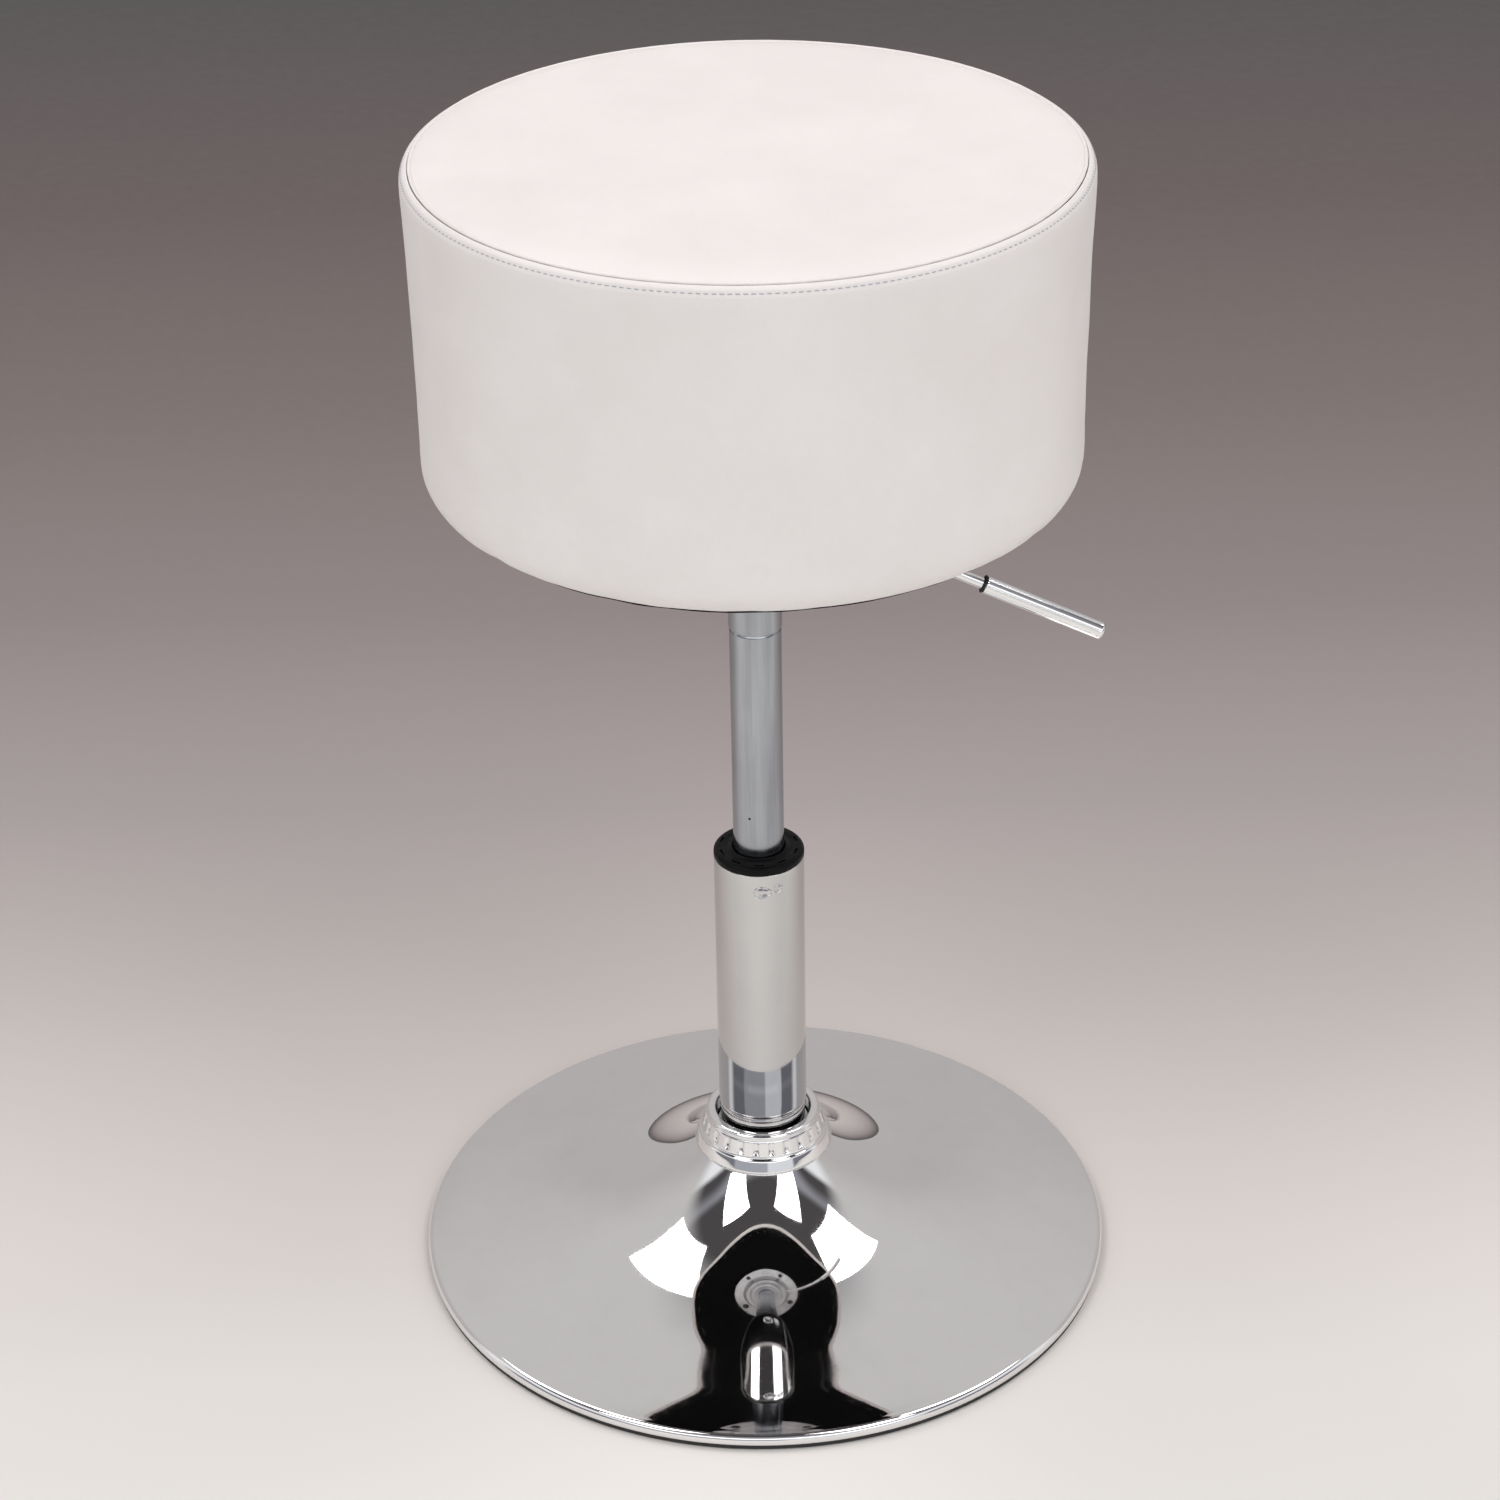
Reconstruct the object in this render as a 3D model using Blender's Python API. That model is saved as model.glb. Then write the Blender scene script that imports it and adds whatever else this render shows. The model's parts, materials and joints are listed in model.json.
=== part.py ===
"""Adjustable swivel stool: a drum seat on a lockable gas spring over a spun trumpet base.

Units are metres and +Z is up. The origin is on the floor, on the column's axis.
Every physical piece is one object. Pieces that move together share a parent empty,
which stands on the axis of the joint that moves them:

    base -> swivel (turns about Z) -> lift (slides along Z) -> lever (hinge)
                                                            -> valve (slides along Z)
    base -> ball_cage (turns about Z at half the swivel's angle)

The stool is modelled raised, with the gas spring fully extended.
"""

import math

import bmesh
import bpy
from mathutils import Matrix

# ---------------------------------------------------------------- driving dimensions
FIT_GAP = 0.0003  # between two pieces that touch

# Trumpet base
BASE_RADIUS = 0.1965
SHELL_THICKNESS = 0.0012
SHELL_EDGE_HEIGHT = 0.0033  # the shell's lower edge, on the floor ring
SHELL_RIM_HEIGHT = 0.0052  # where the rim's roll begins
# Stations of the spun curve: radius, height, slope in degrees below the horizontal
SHELL_STATIONS = (
    (0.0318, 0.0716, 46.4),
    (0.0430, 0.0609, 41.0),
    (0.0600, 0.0481, 33.0),
    (0.0820, 0.0357, 25.9),
    (0.1060, 0.0264, 16.7),
    (0.1150, 0.0239, 14.4),
    (0.1370, 0.0190, 10.7),
    (0.1600, 0.0149, 9.4),
    (0.1700, 0.0133, 9.1),
    (0.1830, 0.0111, 10.3),
    (0.1925, 0.0092, 13.0),
)
FLOOR_RING_WIDTH = 0.0155
FLOOR_RING_HEIGHT = 0.0030
BALLAST_RADIUS = 0.1650
BALLAST_BORE = 0.0500
BALLAST_BOTTOM = 0.0040
BALLAST_TOP = 0.0105
SUPPORT_RADIUS = 0.0800
SUPPORT_THICKNESS = 0.0030
BASE_BOLT_CIRCLE = 0.0650
BASE_BOLT_RADIUS = 0.0040
BASE_BOLT_COUNT = 4
BASE_BOLT_START = 45.0  # degrees about Z from +X

# Column: a fixed stand tube round the gas spring
STAND_RADIUS = 0.0250
STAND_END_RADIUS = 0.0240  # the drawn-in end that sits in the socket
STAND_BORE = 0.0232
STAND_END_BORE = 0.0224
STAND_BOTTOM = 0.0300
STAND_TOP = 0.2572
BEAD_HEIGHTS = (0.0896, 0.0928)
SOCKET_WALL = 0.0022
SOCKET_TOP = 0.0775
COLLAR_RIB_COUNT = 24
COLLAR_RIB_DEPTH = 0.0007
END_DISC_TOP = STAND_BOTTOM + FIT_GAP + 0.0040
BUSH_TOP = 0.2620
BUSH_BOTTOM = 0.1920
BUSH_SLOT_COUNT = 10
BUSH_SLOT_CIRCLE = 0.0212
# Crimps that lock the bush: angle in degrees about Z, dish radius, depth
CRIMP_HEIGHT = 0.2470
CRIMPS = ((-86.0, 0.0100, 0.0008), (-65.0, 0.0070, 0.0006))

# Gas spring
ROD_RADIUS = 0.0050
ROD_BOTTOM = 0.0235
PISTON_BOTTOM = 0.2003
PISTON_TOP = 0.2125
ROD_TOP = PISTON_TOP + FIT_GAP + 0.0037
ROD_NECK_RADIUS = 0.0040  # where the piston and its nut sit
CLIP_GROOVE_BOTTOM = 0.0265
CLIP_GROOVE_TOP = 0.0283
CLIP_GROOVE_RADIUS = 0.0040
TUBE_RADIUS = 0.0140
TUBE_WALL = 0.0015
TUBE_BOTTOM = 0.1800
TUBE_SHOULDER = 0.3980
TUBE_TOP = 0.4620
CONE_RADII = (0.0133, 0.0127)  # at the shoulder and at the top

# Thrust bearing under the rod's bumper, from the tube's end disc upwards
BALL_RADIUS = 0.0015
BALL_CIRCLE = 0.0100
BALL_COUNT = 8
CAGE_THICKNESS = 0.0018
RACE_RADIUS = 0.0140
RACE_THICKNESS = 0.0015
LOWER_RACE_BOTTOM = END_DISC_TOP + FIT_GAP
LOWER_RACE_TOP = LOWER_RACE_BOTTOM + RACE_THICKNESS
BALL_CENTRE = LOWER_RACE_TOP + FIT_GAP + BALL_RADIUS
UPPER_RACE_BOTTOM = BALL_CENTRE + BALL_RADIUS + FIT_GAP
UPPER_RACE_TOP = UPPER_RACE_BOTTOM + RACE_THICKNESS
BUMPER_TOP = 0.0540

# Seat plate, release lever and valve
PLATE_RADIUS = 0.0700
PLATE_TOP = 0.4905
PLATE_THICKNESS = 0.0025
DISH_FLOOR_TOP = 0.4545
PLATE_SOCKET_BOTTOM = 0.3995
PLATE_SCREW_CIRCLE = 0.0600
PLATE_SCREW_RADIUS = 0.0030
PLATE_SCREW_COUNT = 4
PLATE_SCREW_START = 40.0  # degrees about Z from +X
LEVER_ANGLE = -1.5  # degrees about Z from +X
LEVER_DROOP = 24.4  # degrees below the horizontal
LEVER_AXIS_HEIGHT = 0.4779  # where its centre line crosses the column's axis
LEVER_PIVOT_RADIUS = 0.0350
LEVER_PIVOT_HEIGHT = LEVER_AXIS_HEIGHT - LEVER_PIVOT_RADIUS * math.tan(math.radians(LEVER_DROOP))
LEVER_RADIUS = 0.0031
# Distances along the lever from its pivot
LEVER_INNER_END = -0.0483  # past the column's axis, over the valve pin
GRIP_START = 0.0949
GRIP_END = 0.1639
GRIP_RADIUS = 0.0048
GRIP_RING_WIDTH = 0.0010
GRIP_GROOVE_COUNT = 8
GRIP_GROOVE_DEPTH = 0.0004
PIVOT_PIN_RADIUS = 0.0012
VALVE_PIN_TOP = 0.4720
VALVE_PIN_BOTTOM = 0.4250
VALVE_BODY_BOTTOM = 0.4300

# Drum seat
SEAT_RADIUS_TOP = 0.1720
SEAT_RADIUS_BOTTOM = 0.1700
SEAT_BULGE = 0.0015
SEAT_BOTTOM = 0.4903
SEAT_TOP = 0.6645
TOP_ROLL = 0.0052
BOTTOM_ROLL = 0.0160
SIDE_TOP = SEAT_TOP - 0.0013 - TOP_ROLL  # where the straight part of the side starts
SIDE_BOTTOM = SEAT_BOTTOM + BOTTOM_ROLL
COVER_THICKNESS = 0.0012
WRAP_RADIUS = 0.1445  # where the cover ends under the seat
SEAM_RADIUS = 0.1668
PIPING_RADIUS = 0.0009
BOARD_RADIUS = 0.1560
BOARD_BOTTOM = 0.4922
BOARD_THICKNESS = 0.0120
FOAM_TOP = 0.6618

# Facets
WIDE_SIDES = 40
COLUMN_SIDES = 28
SMALL_SIDES = 16
PIN_SIDES = 12
DRILL_TWIST = math.radians(7)  # keeps a drill's corners off the edges of what it cuts
SHARP_ANGLE = math.radians(35)

# Base colour, metallic, roughness
FINISHES = {
    "chrome": ((0.85, 0.85, 0.86), 1.0, 0.05),
    "satin_steel": ((0.62, 0.63, 0.65), 1.0, 0.32),
    "zinc_steel": ((0.66, 0.66, 0.66), 1.0, 0.38),
    "black_iron": ((0.05, 0.05, 0.05), 0.3, 0.60),
    "black_plastic": ((0.02, 0.02, 0.02), 0.0, 0.40),
    "black_rubber": ((0.03, 0.03, 0.03), 0.0, 0.80),
    "white_leatherette": ((0.86, 0.83, 0.80), 0.0, 0.45),
    "seat_foam": ((0.85, 0.78, 0.52), 0.0, 0.90),
    "plywood": ((0.62, 0.46, 0.29), 0.0, 0.65),
    "black_nonwoven": ((0.02, 0.02, 0.02), 0.0, 0.95),
}


# ---------------------------------------------------------------- tools
def clear_scene():
    for thing in list(bpy.data.objects):
        bpy.data.objects.remove(thing, do_unlink=True)


def finish(name):
    """The material of this name, made once."""
    found = bpy.data.materials.get(name)
    if found:
        return found
    colour, metallic, roughness = FINISHES[name]
    made = bpy.data.materials.new(name)
    made.use_nodes = True
    shader = made.node_tree.nodes["Principled BSDF"]
    shader.inputs["Base Color"].default_value = (*colour, 1.0)
    shader.inputs["Metallic"].default_value = metallic
    shader.inputs["Roughness"].default_value = roughness
    return made


def joint_frame(name, parent=None, location=(0.0, 0.0, 0.0), turn=0.0):
    """An empty on a joint's axis, turned about Z by this many degrees."""
    empty = bpy.data.objects.new(name, None)
    empty.empty_display_size = 0.05
    empty.location = location
    empty.rotation_euler = (0.0, 0.0, math.radians(turn))
    empty.parent = parent
    bpy.context.scene.collection.objects.link(empty)
    return empty


def mesh_of(name, bm, finish_name):
    """A smooth mesh with sharp edges kept, from a bmesh whose faces are turned outwards."""
    bmesh.ops.recalc_face_normals(bm, faces=bm.faces)
    mesh = bpy.data.meshes.new(name)
    bm.to_mesh(mesh)
    bm.free()
    mesh.materials.append(finish(finish_name))
    mesh.shade_smooth()
    mesh.set_sharp_from_angle(angle=SHARP_ANGLE)
    return mesh


def place(name, mesh, parent, location=(0.0, 0.0, 0.0), rotation=(0.0, 0.0, 0.0)):
    """An object for this mesh, in its parent's frame."""
    piece = bpy.data.objects.new(name, mesh)
    piece.location = location
    piece.rotation_euler = rotation
    piece.parent = parent
    bpy.context.scene.collection.objects.link(piece)
    return piece


def cutter(name, mesh, parent, location=(0.0, 0.0, 0.0), rotation=(0.0, 0.0, 0.0)):
    """A helper that only cuts other pieces."""
    helper = place(name, mesh, parent, location, rotation)
    helper.hide_render = True
    helper.display_type = "WIRE"
    return helper


def cut(piece, helper):
    """Takes the helper's shape out of the piece."""
    modifier = piece.modifiers.new("cut_" + helper.name, "BOOLEAN")
    modifier.operation = "DIFFERENCE"
    modifier.solver = "EXACT"
    modifier.object = helper


def join(piece, helper):
    """Adds the helper's shape to the piece."""
    modifier = piece.modifiers.new("join_" + helper.name, "BOOLEAN")
    modifier.operation = "UNION"
    modifier.solver = "EXACT"
    modifier.object = helper


def arc(centre, radius, start, end, steps):
    """Points on an arc of a turned outline; angles in degrees from the outward radius."""
    points = []
    for step in range(steps + 1):
        angle = math.radians(start + (end - start) * step / steps)
        points.append((centre[0] + radius * math.cos(angle), centre[1] + radius * math.sin(angle)))
    return points


def ring_loop(inner, outer, bottom, top, chamfer=0.0):
    """The section of a plain ring or disc, with its outer corners chamfered."""
    if chamfer == 0.0:
        return [(outer, top), (outer, bottom), (inner, bottom), (inner, top)]
    return [
        (outer - chamfer, top),
        (outer, top - chamfer),
        (outer, bottom + chamfer),
        (outer - chamfer, bottom),
        (inner, bottom),
        (inner, top),
    ]


def turned_bmesh(loop, sides, radius_at=None):
    """Turns a closed outline of (radius, height) points about Z.

    A point on the axis becomes one vertex. radius_at(index, angle) may change a point's
    radius with the angle, for ribs and flutes.
    """
    bm = bmesh.new()
    rings = []
    for index, (radius, height) in enumerate(loop):
        if radius == 0.0:
            rings.append([bm.verts.new((0.0, 0.0, height))])
            continue
        ring = []
        for side in range(sides):
            angle = 2.0 * math.pi * side / sides
            reach = radius_at(index, angle) if radius_at else radius
            x, y = reach * math.cos(angle), reach * math.sin(angle)
            ring.append(bm.verts.new((x, y, height)))
        rings.append(ring)
    for first, second in zip(rings, rings[1:] + rings[:1]):
        for side in range(sides):
            following = (side + 1) % sides
            if len(first) == 1 and len(second) == 1:
                continue
            if len(first) == 1:
                bm.faces.new((first[0], second[side], second[following]))
            elif len(second) == 1:
                bm.faces.new((first[side], second[0], first[following]))
            else:
                bm.faces.new((first[side], second[side], second[following], first[following]))
    return bm


def turned(name, loop, sides, finish_name, parent, rotation=(0.0, 0.0, 0.0)):
    """A turned piece, standing on its parent's Z axis unless rotated."""
    mesh = mesh_of(name, turned_bmesh(loop, sides), finish_name)
    return place(name, mesh, parent, rotation=rotation)


def box_bmesh(low, high):
    """A box between two corners."""
    bm = bmesh.new()
    bmesh.ops.create_cube(bm, size=1.0)
    for vert in bm.verts:
        for axis in range(3):
            vert.co[axis] = low[axis] if vert.co[axis] < 0.0 else high[axis]
    return bm


def on_circle(radius, count, start=0.0):
    """Places evenly spaced on a circle: x, y and the angle in radians."""
    places = []
    for index in range(count):
        angle = math.radians(start) + 2.0 * math.pi * index / count
        places.append((radius * math.cos(angle), radius * math.sin(angle), angle))
    return places


def hole_cutter(name, radius, bottom, top, circle, count, start=0.0):
    """One cutter that drills a circle of vertical holes."""
    drills = bmesh.new()
    for x, y, _ in on_circle(circle, count, start):
        drill = turned_bmesh([(0.0, top), (radius, top), (radius, bottom), (0.0, bottom)], PIN_SIDES)
        bmesh.ops.rotate(drill, verts=drill.verts, matrix=Matrix.Rotation(DRILL_TWIST, 3, "Z"))
        bmesh.ops.translate(drill, verts=drill.verts, vec=(x, y, 0.0))
        one = bpy.data.meshes.new(name + "_drill")
        drill.to_mesh(one)
        drill.free()
        drills.from_mesh(one)
        bpy.data.meshes.remove(one)
    return cutter(name, mesh_of(name, drills, "zinc_steel"), None)


# ---------------------------------------------------------------- base
def shell_curve(steps_per_span=2):
    """Points of the spun curve from the neck to the rim: cubic spans through the stations."""
    points = []
    for (r0, z0, s0), (r1, z1, s1) in zip(SHELL_STATIONS, SHELL_STATIONS[1:]):
        span = r1 - r0
        rise0 = -math.tan(math.radians(s0)) * span
        rise1 = -math.tan(math.radians(s1)) * span
        for step in range(steps_per_span):
            t = step / steps_per_span
            height = (
                (2 * t**3 - 3 * t**2 + 1) * z0
                + (t**3 - 2 * t**2 + t) * rise0
                + (3 * t**2 - 2 * t**3) * z1
                + (t**3 - t**2) * rise1
            )
            points.append((r0 + span * t, height))
    points.append(SHELL_STATIONS[-1][:2])
    return points


def offset_inside(curve, distance):
    """The curve moved by this distance to its lower, inner side."""
    moved = []
    for index, (radius, height) in enumerate(curve):
        before = curve[max(index - 1, 0)]
        after = curve[min(index + 1, len(curve) - 1)]
        along = (after[0] - before[0], after[1] - before[1])
        length = math.hypot(*along)
        moved.append((radius + distance * along[1] / length, height - distance * along[0] / length))
    return moved


def build_base_shell(base):
    roll_radius = BASE_RADIUS - SHELL_STATIONS[-1][0]
    roll_centre = (SHELL_STATIONS[-1][0], SHELL_RIM_HEIGHT)
    outer = shell_curve()
    outer += arc(roll_centre, roll_radius, 55.0, 0.0, 2)
    outer.append((BASE_RADIUS, SHELL_EDGE_HEIGHT))
    inner = offset_inside(outer, SHELL_THICKNESS)
    inner[-1] = (BASE_RADIUS - SHELL_THICKNESS, SHELL_EDGE_HEIGHT)
    turned("base_shell", outer + inner[::-1], WIDE_SIDES, "chrome", base)


def build_floor_ring(base):
    outer = BASE_RADIUS - 0.0008
    inner = outer - FLOOR_RING_WIDTH
    lip = inner + 0.0040
    loop = [
        (outer, FLOOR_RING_HEIGHT),
        (outer - 0.0006, 0.0),
        (inner, 0.0),
        (inner, FLOOR_RING_HEIGHT + 0.0035),
        (lip, FLOOR_RING_HEIGHT + 0.0035),
        (lip, FLOOR_RING_HEIGHT),
    ]
    turned("floor_ring", loop, WIDE_SIDES, "black_rubber", base)


def build_ballast(base, bolt_holes):
    loop = ring_loop(BALLAST_BORE, BALLAST_RADIUS, BALLAST_BOTTOM, BALLAST_TOP, 0.0010)
    cut(turned("ballast_ring", loop, WIDE_SIDES, "black_iron", base), bolt_holes)


def build_support(base, bolt_holes):
    bottom = BALLAST_TOP + FIT_GAP
    socket_bore = STAND_END_RADIUS + FIT_GAP
    socket_outer = socket_bore + SOCKET_WALL
    plate_loop = ring_loop(socket_outer + FIT_GAP, SUPPORT_RADIUS, bottom, bottom + SUPPORT_THICKNESS)
    cut(turned("support_plate", plate_loop, COLUMN_SIDES, "black_iron", base), bolt_holes)
    socket_loop = ring_loop(socket_bore, socket_outer, bottom, SOCKET_TOP, 0.0004)
    turned("column_socket", socket_loop, COLUMN_SIDES, "zinc_steel", base)


def build_base_bolts(base):
    """Hexagon bolts from the support plate down into the ballast."""
    head_radius = 0.0075
    head_bottom = BALLAST_TOP + FIT_GAP + SUPPORT_THICKNESS + FIT_GAP
    head_top = head_bottom + 0.0053
    shank_end = BALLAST_BOTTOM + 0.0005
    places = on_circle(BASE_BOLT_CIRCLE, BASE_BOLT_COUNT, BASE_BOLT_START)
    for index, (x, y, angle) in enumerate(places):
        name = f"base_bolt_{index + 1}"
        bm = bolt_bmesh(head_radius, 6, head_bottom, head_top, BASE_BOLT_RADIUS, shank_end)
        place(name, mesh_of(name, bm, "zinc_steel"), base, (x, y, 0.0), (0.0, 0.0, angle))


def bolt_bmesh(head_radius, head_sides, head_near, head_far, shank_radius, shank_end):
    """A bolt along Z: its head from head_near to head_far, its shank from head_near to shank_end.

    Head and shank are two prisms that share the head's seat face, so one closed body.
    """
    sides = head_sides * 2
    bm = bmesh.new()
    heights = (shank_end, head_near, head_near, head_far)
    radii = (shank_radius, shank_radius, head_radius, head_radius)
    rings = []
    for row, (height, radius) in enumerate(zip(heights, radii)):
        ring = []
        for side in range(sides):
            angle = 2.0 * math.pi * side / sides
            flat = math.cos(math.pi / head_sides) if side % 2 and row > 1 else 1.0
            reach = radius * flat
            ring.append(bm.verts.new((reach * math.cos(angle), reach * math.sin(angle), height)))
        rings.append(ring)
    for first, second in zip(rings, rings[1:]):
        for side in range(sides):
            following = (side + 1) % sides
            bm.faces.new((first[side], first[following], second[following], second[side]))
    bm.faces.new(rings[0][::-1])
    bm.faces.new(rings[-1])
    return bm


def build_collar(base):
    """The ribbed ring nut that clamps the shell's neck on the socket."""
    bore = STAND_END_RADIUS + FIT_GAP + SOCKET_WALL + FIT_GAP
    loop = [
        (0.0310, 0.0878),
        (0.0321, 0.0866),
        (0.0324, 0.0844),
        (0.0350, 0.0756),
        (0.0370, 0.0738),
        (0.0392, 0.0664),
        (0.0378, 0.0672),
        (0.0322, 0.0734),
        (0.0296, 0.0748),
        (0.0296, 0.0710),
        (bore, 0.0710),
        (bore, 0.0878),
    ]
    ribbed = (2, 3)

    def radius_at(index, angle):
        in_groove = round(angle * COLLAR_RIB_COUNT / math.pi) % 2
        return loop[index][0] - (COLLAR_RIB_DEPTH if index in ribbed and in_groove else 0.0)

    bm = turned_bmesh(loop, COLLAR_RIB_COUNT * 2, radius_at)
    place("collar_ring", mesh_of("collar_ring", bm, "chrome"), base)


def build_stand_tube(base):
    outer = [(STAND_RADIUS - 0.0003, STAND_TOP), (STAND_RADIUS, STAND_TOP - 0.0004)]
    outer += [(STAND_RADIUS, 0.0962), (STAND_RADIUS - 0.0006, 0.0948)]
    for height in reversed(BEAD_HEIGHTS):
        outer.append((STAND_END_RADIUS, height + 0.0014))
        outer.append((STAND_END_RADIUS + 0.0006, height))
    outer += [(STAND_END_RADIUS, BEAD_HEIGHTS[0] - 0.0014)]
    outer += [(STAND_END_RADIUS, STAND_BOTTOM)]
    inner = [(STAND_END_BORE, STAND_BOTTOM), (STAND_END_BORE, 0.0950)]
    inner += [(STAND_BORE, 0.0970), (STAND_BORE, STAND_TOP)]
    tube = turned("stand_tube", outer + inner, COLUMN_SIDES, "chrome", base)
    for number, (degrees, dish_radius, depth) in enumerate(CRIMPS, 1):
        name = f"crimp_cutter_{number}"
        ball = bmesh.new()
        bmesh.ops.create_uvsphere(ball, u_segments=24, v_segments=12, radius=dish_radius)
        reach = STAND_RADIUS + dish_radius - depth
        angle = math.radians(degrees)
        where = (reach * math.cos(angle), reach * math.sin(angle), CRIMP_HEIGHT)
        cut(tube, cutter(name, mesh_of(name, ball, "chrome"), base, where))


def build_guide_bush(base):
    """The black bush that guides the pressure tube: a flange, a thin sleeve and two lands."""
    bore = TUBE_RADIUS + 0.00035
    land = STAND_BORE - FIT_GAP
    waist = bore + 0.0025
    seat = STAND_TOP + FIT_GAP
    loop = [
        (bore + 0.0016, BUSH_TOP + 0.0006),
        (bore + 0.0026, BUSH_TOP),
        (STAND_RADIUS - 0.0014, BUSH_TOP),
        (STAND_RADIUS, BUSH_TOP - 0.0014),
        (STAND_RADIUS, seat),
        (land, seat),
        (land, seat - 0.0060),
        (waist, seat - 0.0080),
        (waist, BUSH_BOTTOM + 0.0080),
        (land, BUSH_BOTTOM + 0.0060),
        (land, BUSH_BOTTOM),
        (bore, BUSH_BOTTOM),
        (bore, BUSH_TOP + 0.0006),
    ]
    bush = turned("guide_bush", loop, COLUMN_SIDES, "black_plastic", base)
    slots = bmesh.new()
    for x, y, angle in on_circle(BUSH_SLOT_CIRCLE, BUSH_SLOT_COUNT, 18.0):
        slot = box_bmesh((-0.0006, -0.0029, BUSH_TOP - 0.0012), (0.0006, 0.0029, BUSH_TOP + 0.0010))
        for vert in slot.verts:
            across, along = vert.co.x, vert.co.y
            vert.co.x = x + across * math.cos(angle) - along * math.sin(angle)
            vert.co.y = y + across * math.sin(angle) + along * math.cos(angle)
        one = bpy.data.meshes.new("slot")
        slot.to_mesh(one)
        slot.free()
        slots.from_mesh(one)
        bpy.data.meshes.remove(one)
    cut(bush, cutter("bush_slot_cutter", mesh_of("bush_slot_cutter", slots, "black_plastic"), base))


def build_base(base):
    pattern = (BASE_BOLT_CIRCLE, BASE_BOLT_COUNT, BASE_BOLT_START)
    bolt_holes = hole_cutter("base_bolt_holes", BASE_BOLT_RADIUS + FIT_GAP, 0.0, 0.0200, *pattern)
    build_base_shell(base)
    build_floor_ring(base)
    build_ballast(base, bolt_holes)
    build_support(base, bolt_holes)
    build_base_bolts(base)
    build_collar(base)
    build_stand_tube(base)
    build_guide_bush(base)
    end_radius = STAND_END_BORE - FIT_GAP
    end_loop = ring_loop(ROD_RADIUS + 0.0005, end_radius, STAND_BOTTOM + FIT_GAP, END_DISC_TOP)
    turned("tube_end_disc", end_loop, COLUMN_SIDES, "zinc_steel", base)
    race_loop = ring_loop(ROD_RADIUS + 0.0006, RACE_RADIUS, LOWER_RACE_BOTTOM, LOWER_RACE_TOP, 0.0003)
    turned("lower_race", race_loop, SMALL_SIDES, "satin_steel", base)


def build_ball_cage(cage):
    """A steel cage with its balls, which roll between the two races."""
    bottom = BALL_CENTRE - CAGE_THICKNESS / 2
    loop = ring_loop(0.0068, 0.0132, bottom, bottom + CAGE_THICKNESS)
    ring = turned("ball_cage", loop, SMALL_SIDES, "satin_steel", cage)
    balls = bmesh.new()
    for x, y, _ in on_circle(BALL_CIRCLE, BALL_COUNT, 9.0):
        ball = bmesh.new()
        bmesh.ops.create_uvsphere(ball, u_segments=8, v_segments=5, radius=BALL_RADIUS)
        for vert in ball.verts:
            vert.co.x += x
            vert.co.y += y
            vert.co.z += BALL_CENTRE
        one = bpy.data.meshes.new("ball")
        ball.to_mesh(one)
        ball.free()
        balls.from_mesh(one)
        bpy.data.meshes.remove(one)
    join(ring, cutter("ball_set", mesh_of("ball_set", balls, "satin_steel"), cage))


# ---------------------------------------------------------------- swivel: rod and piston
def build_piston_rod(swivel):
    neck = ROD_NECK_RADIUS
    loop = [
        (0.0, ROD_TOP),
        (neck, ROD_TOP),
        (neck, PISTON_BOTTOM - FIT_GAP),
        (ROD_RADIUS, PISTON_BOTTOM - FIT_GAP),
        (ROD_RADIUS, CLIP_GROOVE_TOP),
        (CLIP_GROOVE_RADIUS, CLIP_GROOVE_TOP),
        (CLIP_GROOVE_RADIUS, CLIP_GROOVE_BOTTOM),
        (ROD_RADIUS, CLIP_GROOVE_BOTTOM),
        (ROD_RADIUS, ROD_BOTTOM + 0.0008),
        (ROD_RADIUS - 0.0008, ROD_BOTTOM),
        (0.0, ROD_BOTTOM),
    ]
    turned("piston_rod", loop, SMALL_SIDES, "satin_steel", swivel)


def build_retaining_clip(swivel):
    """An open spring clip in the rod's groove."""
    inner = CLIP_GROOVE_RADIUS + FIT_GAP
    outer = 0.0085
    bottom = CLIP_GROOVE_BOTTOM + FIT_GAP
    top = CLIP_GROOVE_TOP - FIT_GAP
    opening = math.radians(70.0)
    steps = 14
    bm = bmesh.new()
    rows = []
    for step in range(steps + 1):
        angle = opening / 2 + (2.0 * math.pi - opening) * step / steps
        direction = (math.cos(angle), math.sin(angle))
        row = []
        for radius, height in ((inner, bottom), (outer, bottom), (outer, top), (inner, top)):
            row.append(bm.verts.new((radius * direction[0], radius * direction[1], height)))
        rows.append(row)
    for first, second in zip(rows, rows[1:]):
        for corner in range(4):
            following = (corner + 1) % 4
            bm.faces.new((first[corner], first[following], second[following], second[corner]))
    bm.faces.new(rows[0][::-1])
    bm.faces.new(rows[-1])
    place("retaining_clip", mesh_of("retaining_clip", bm, "zinc_steel"), swivel)


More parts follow.
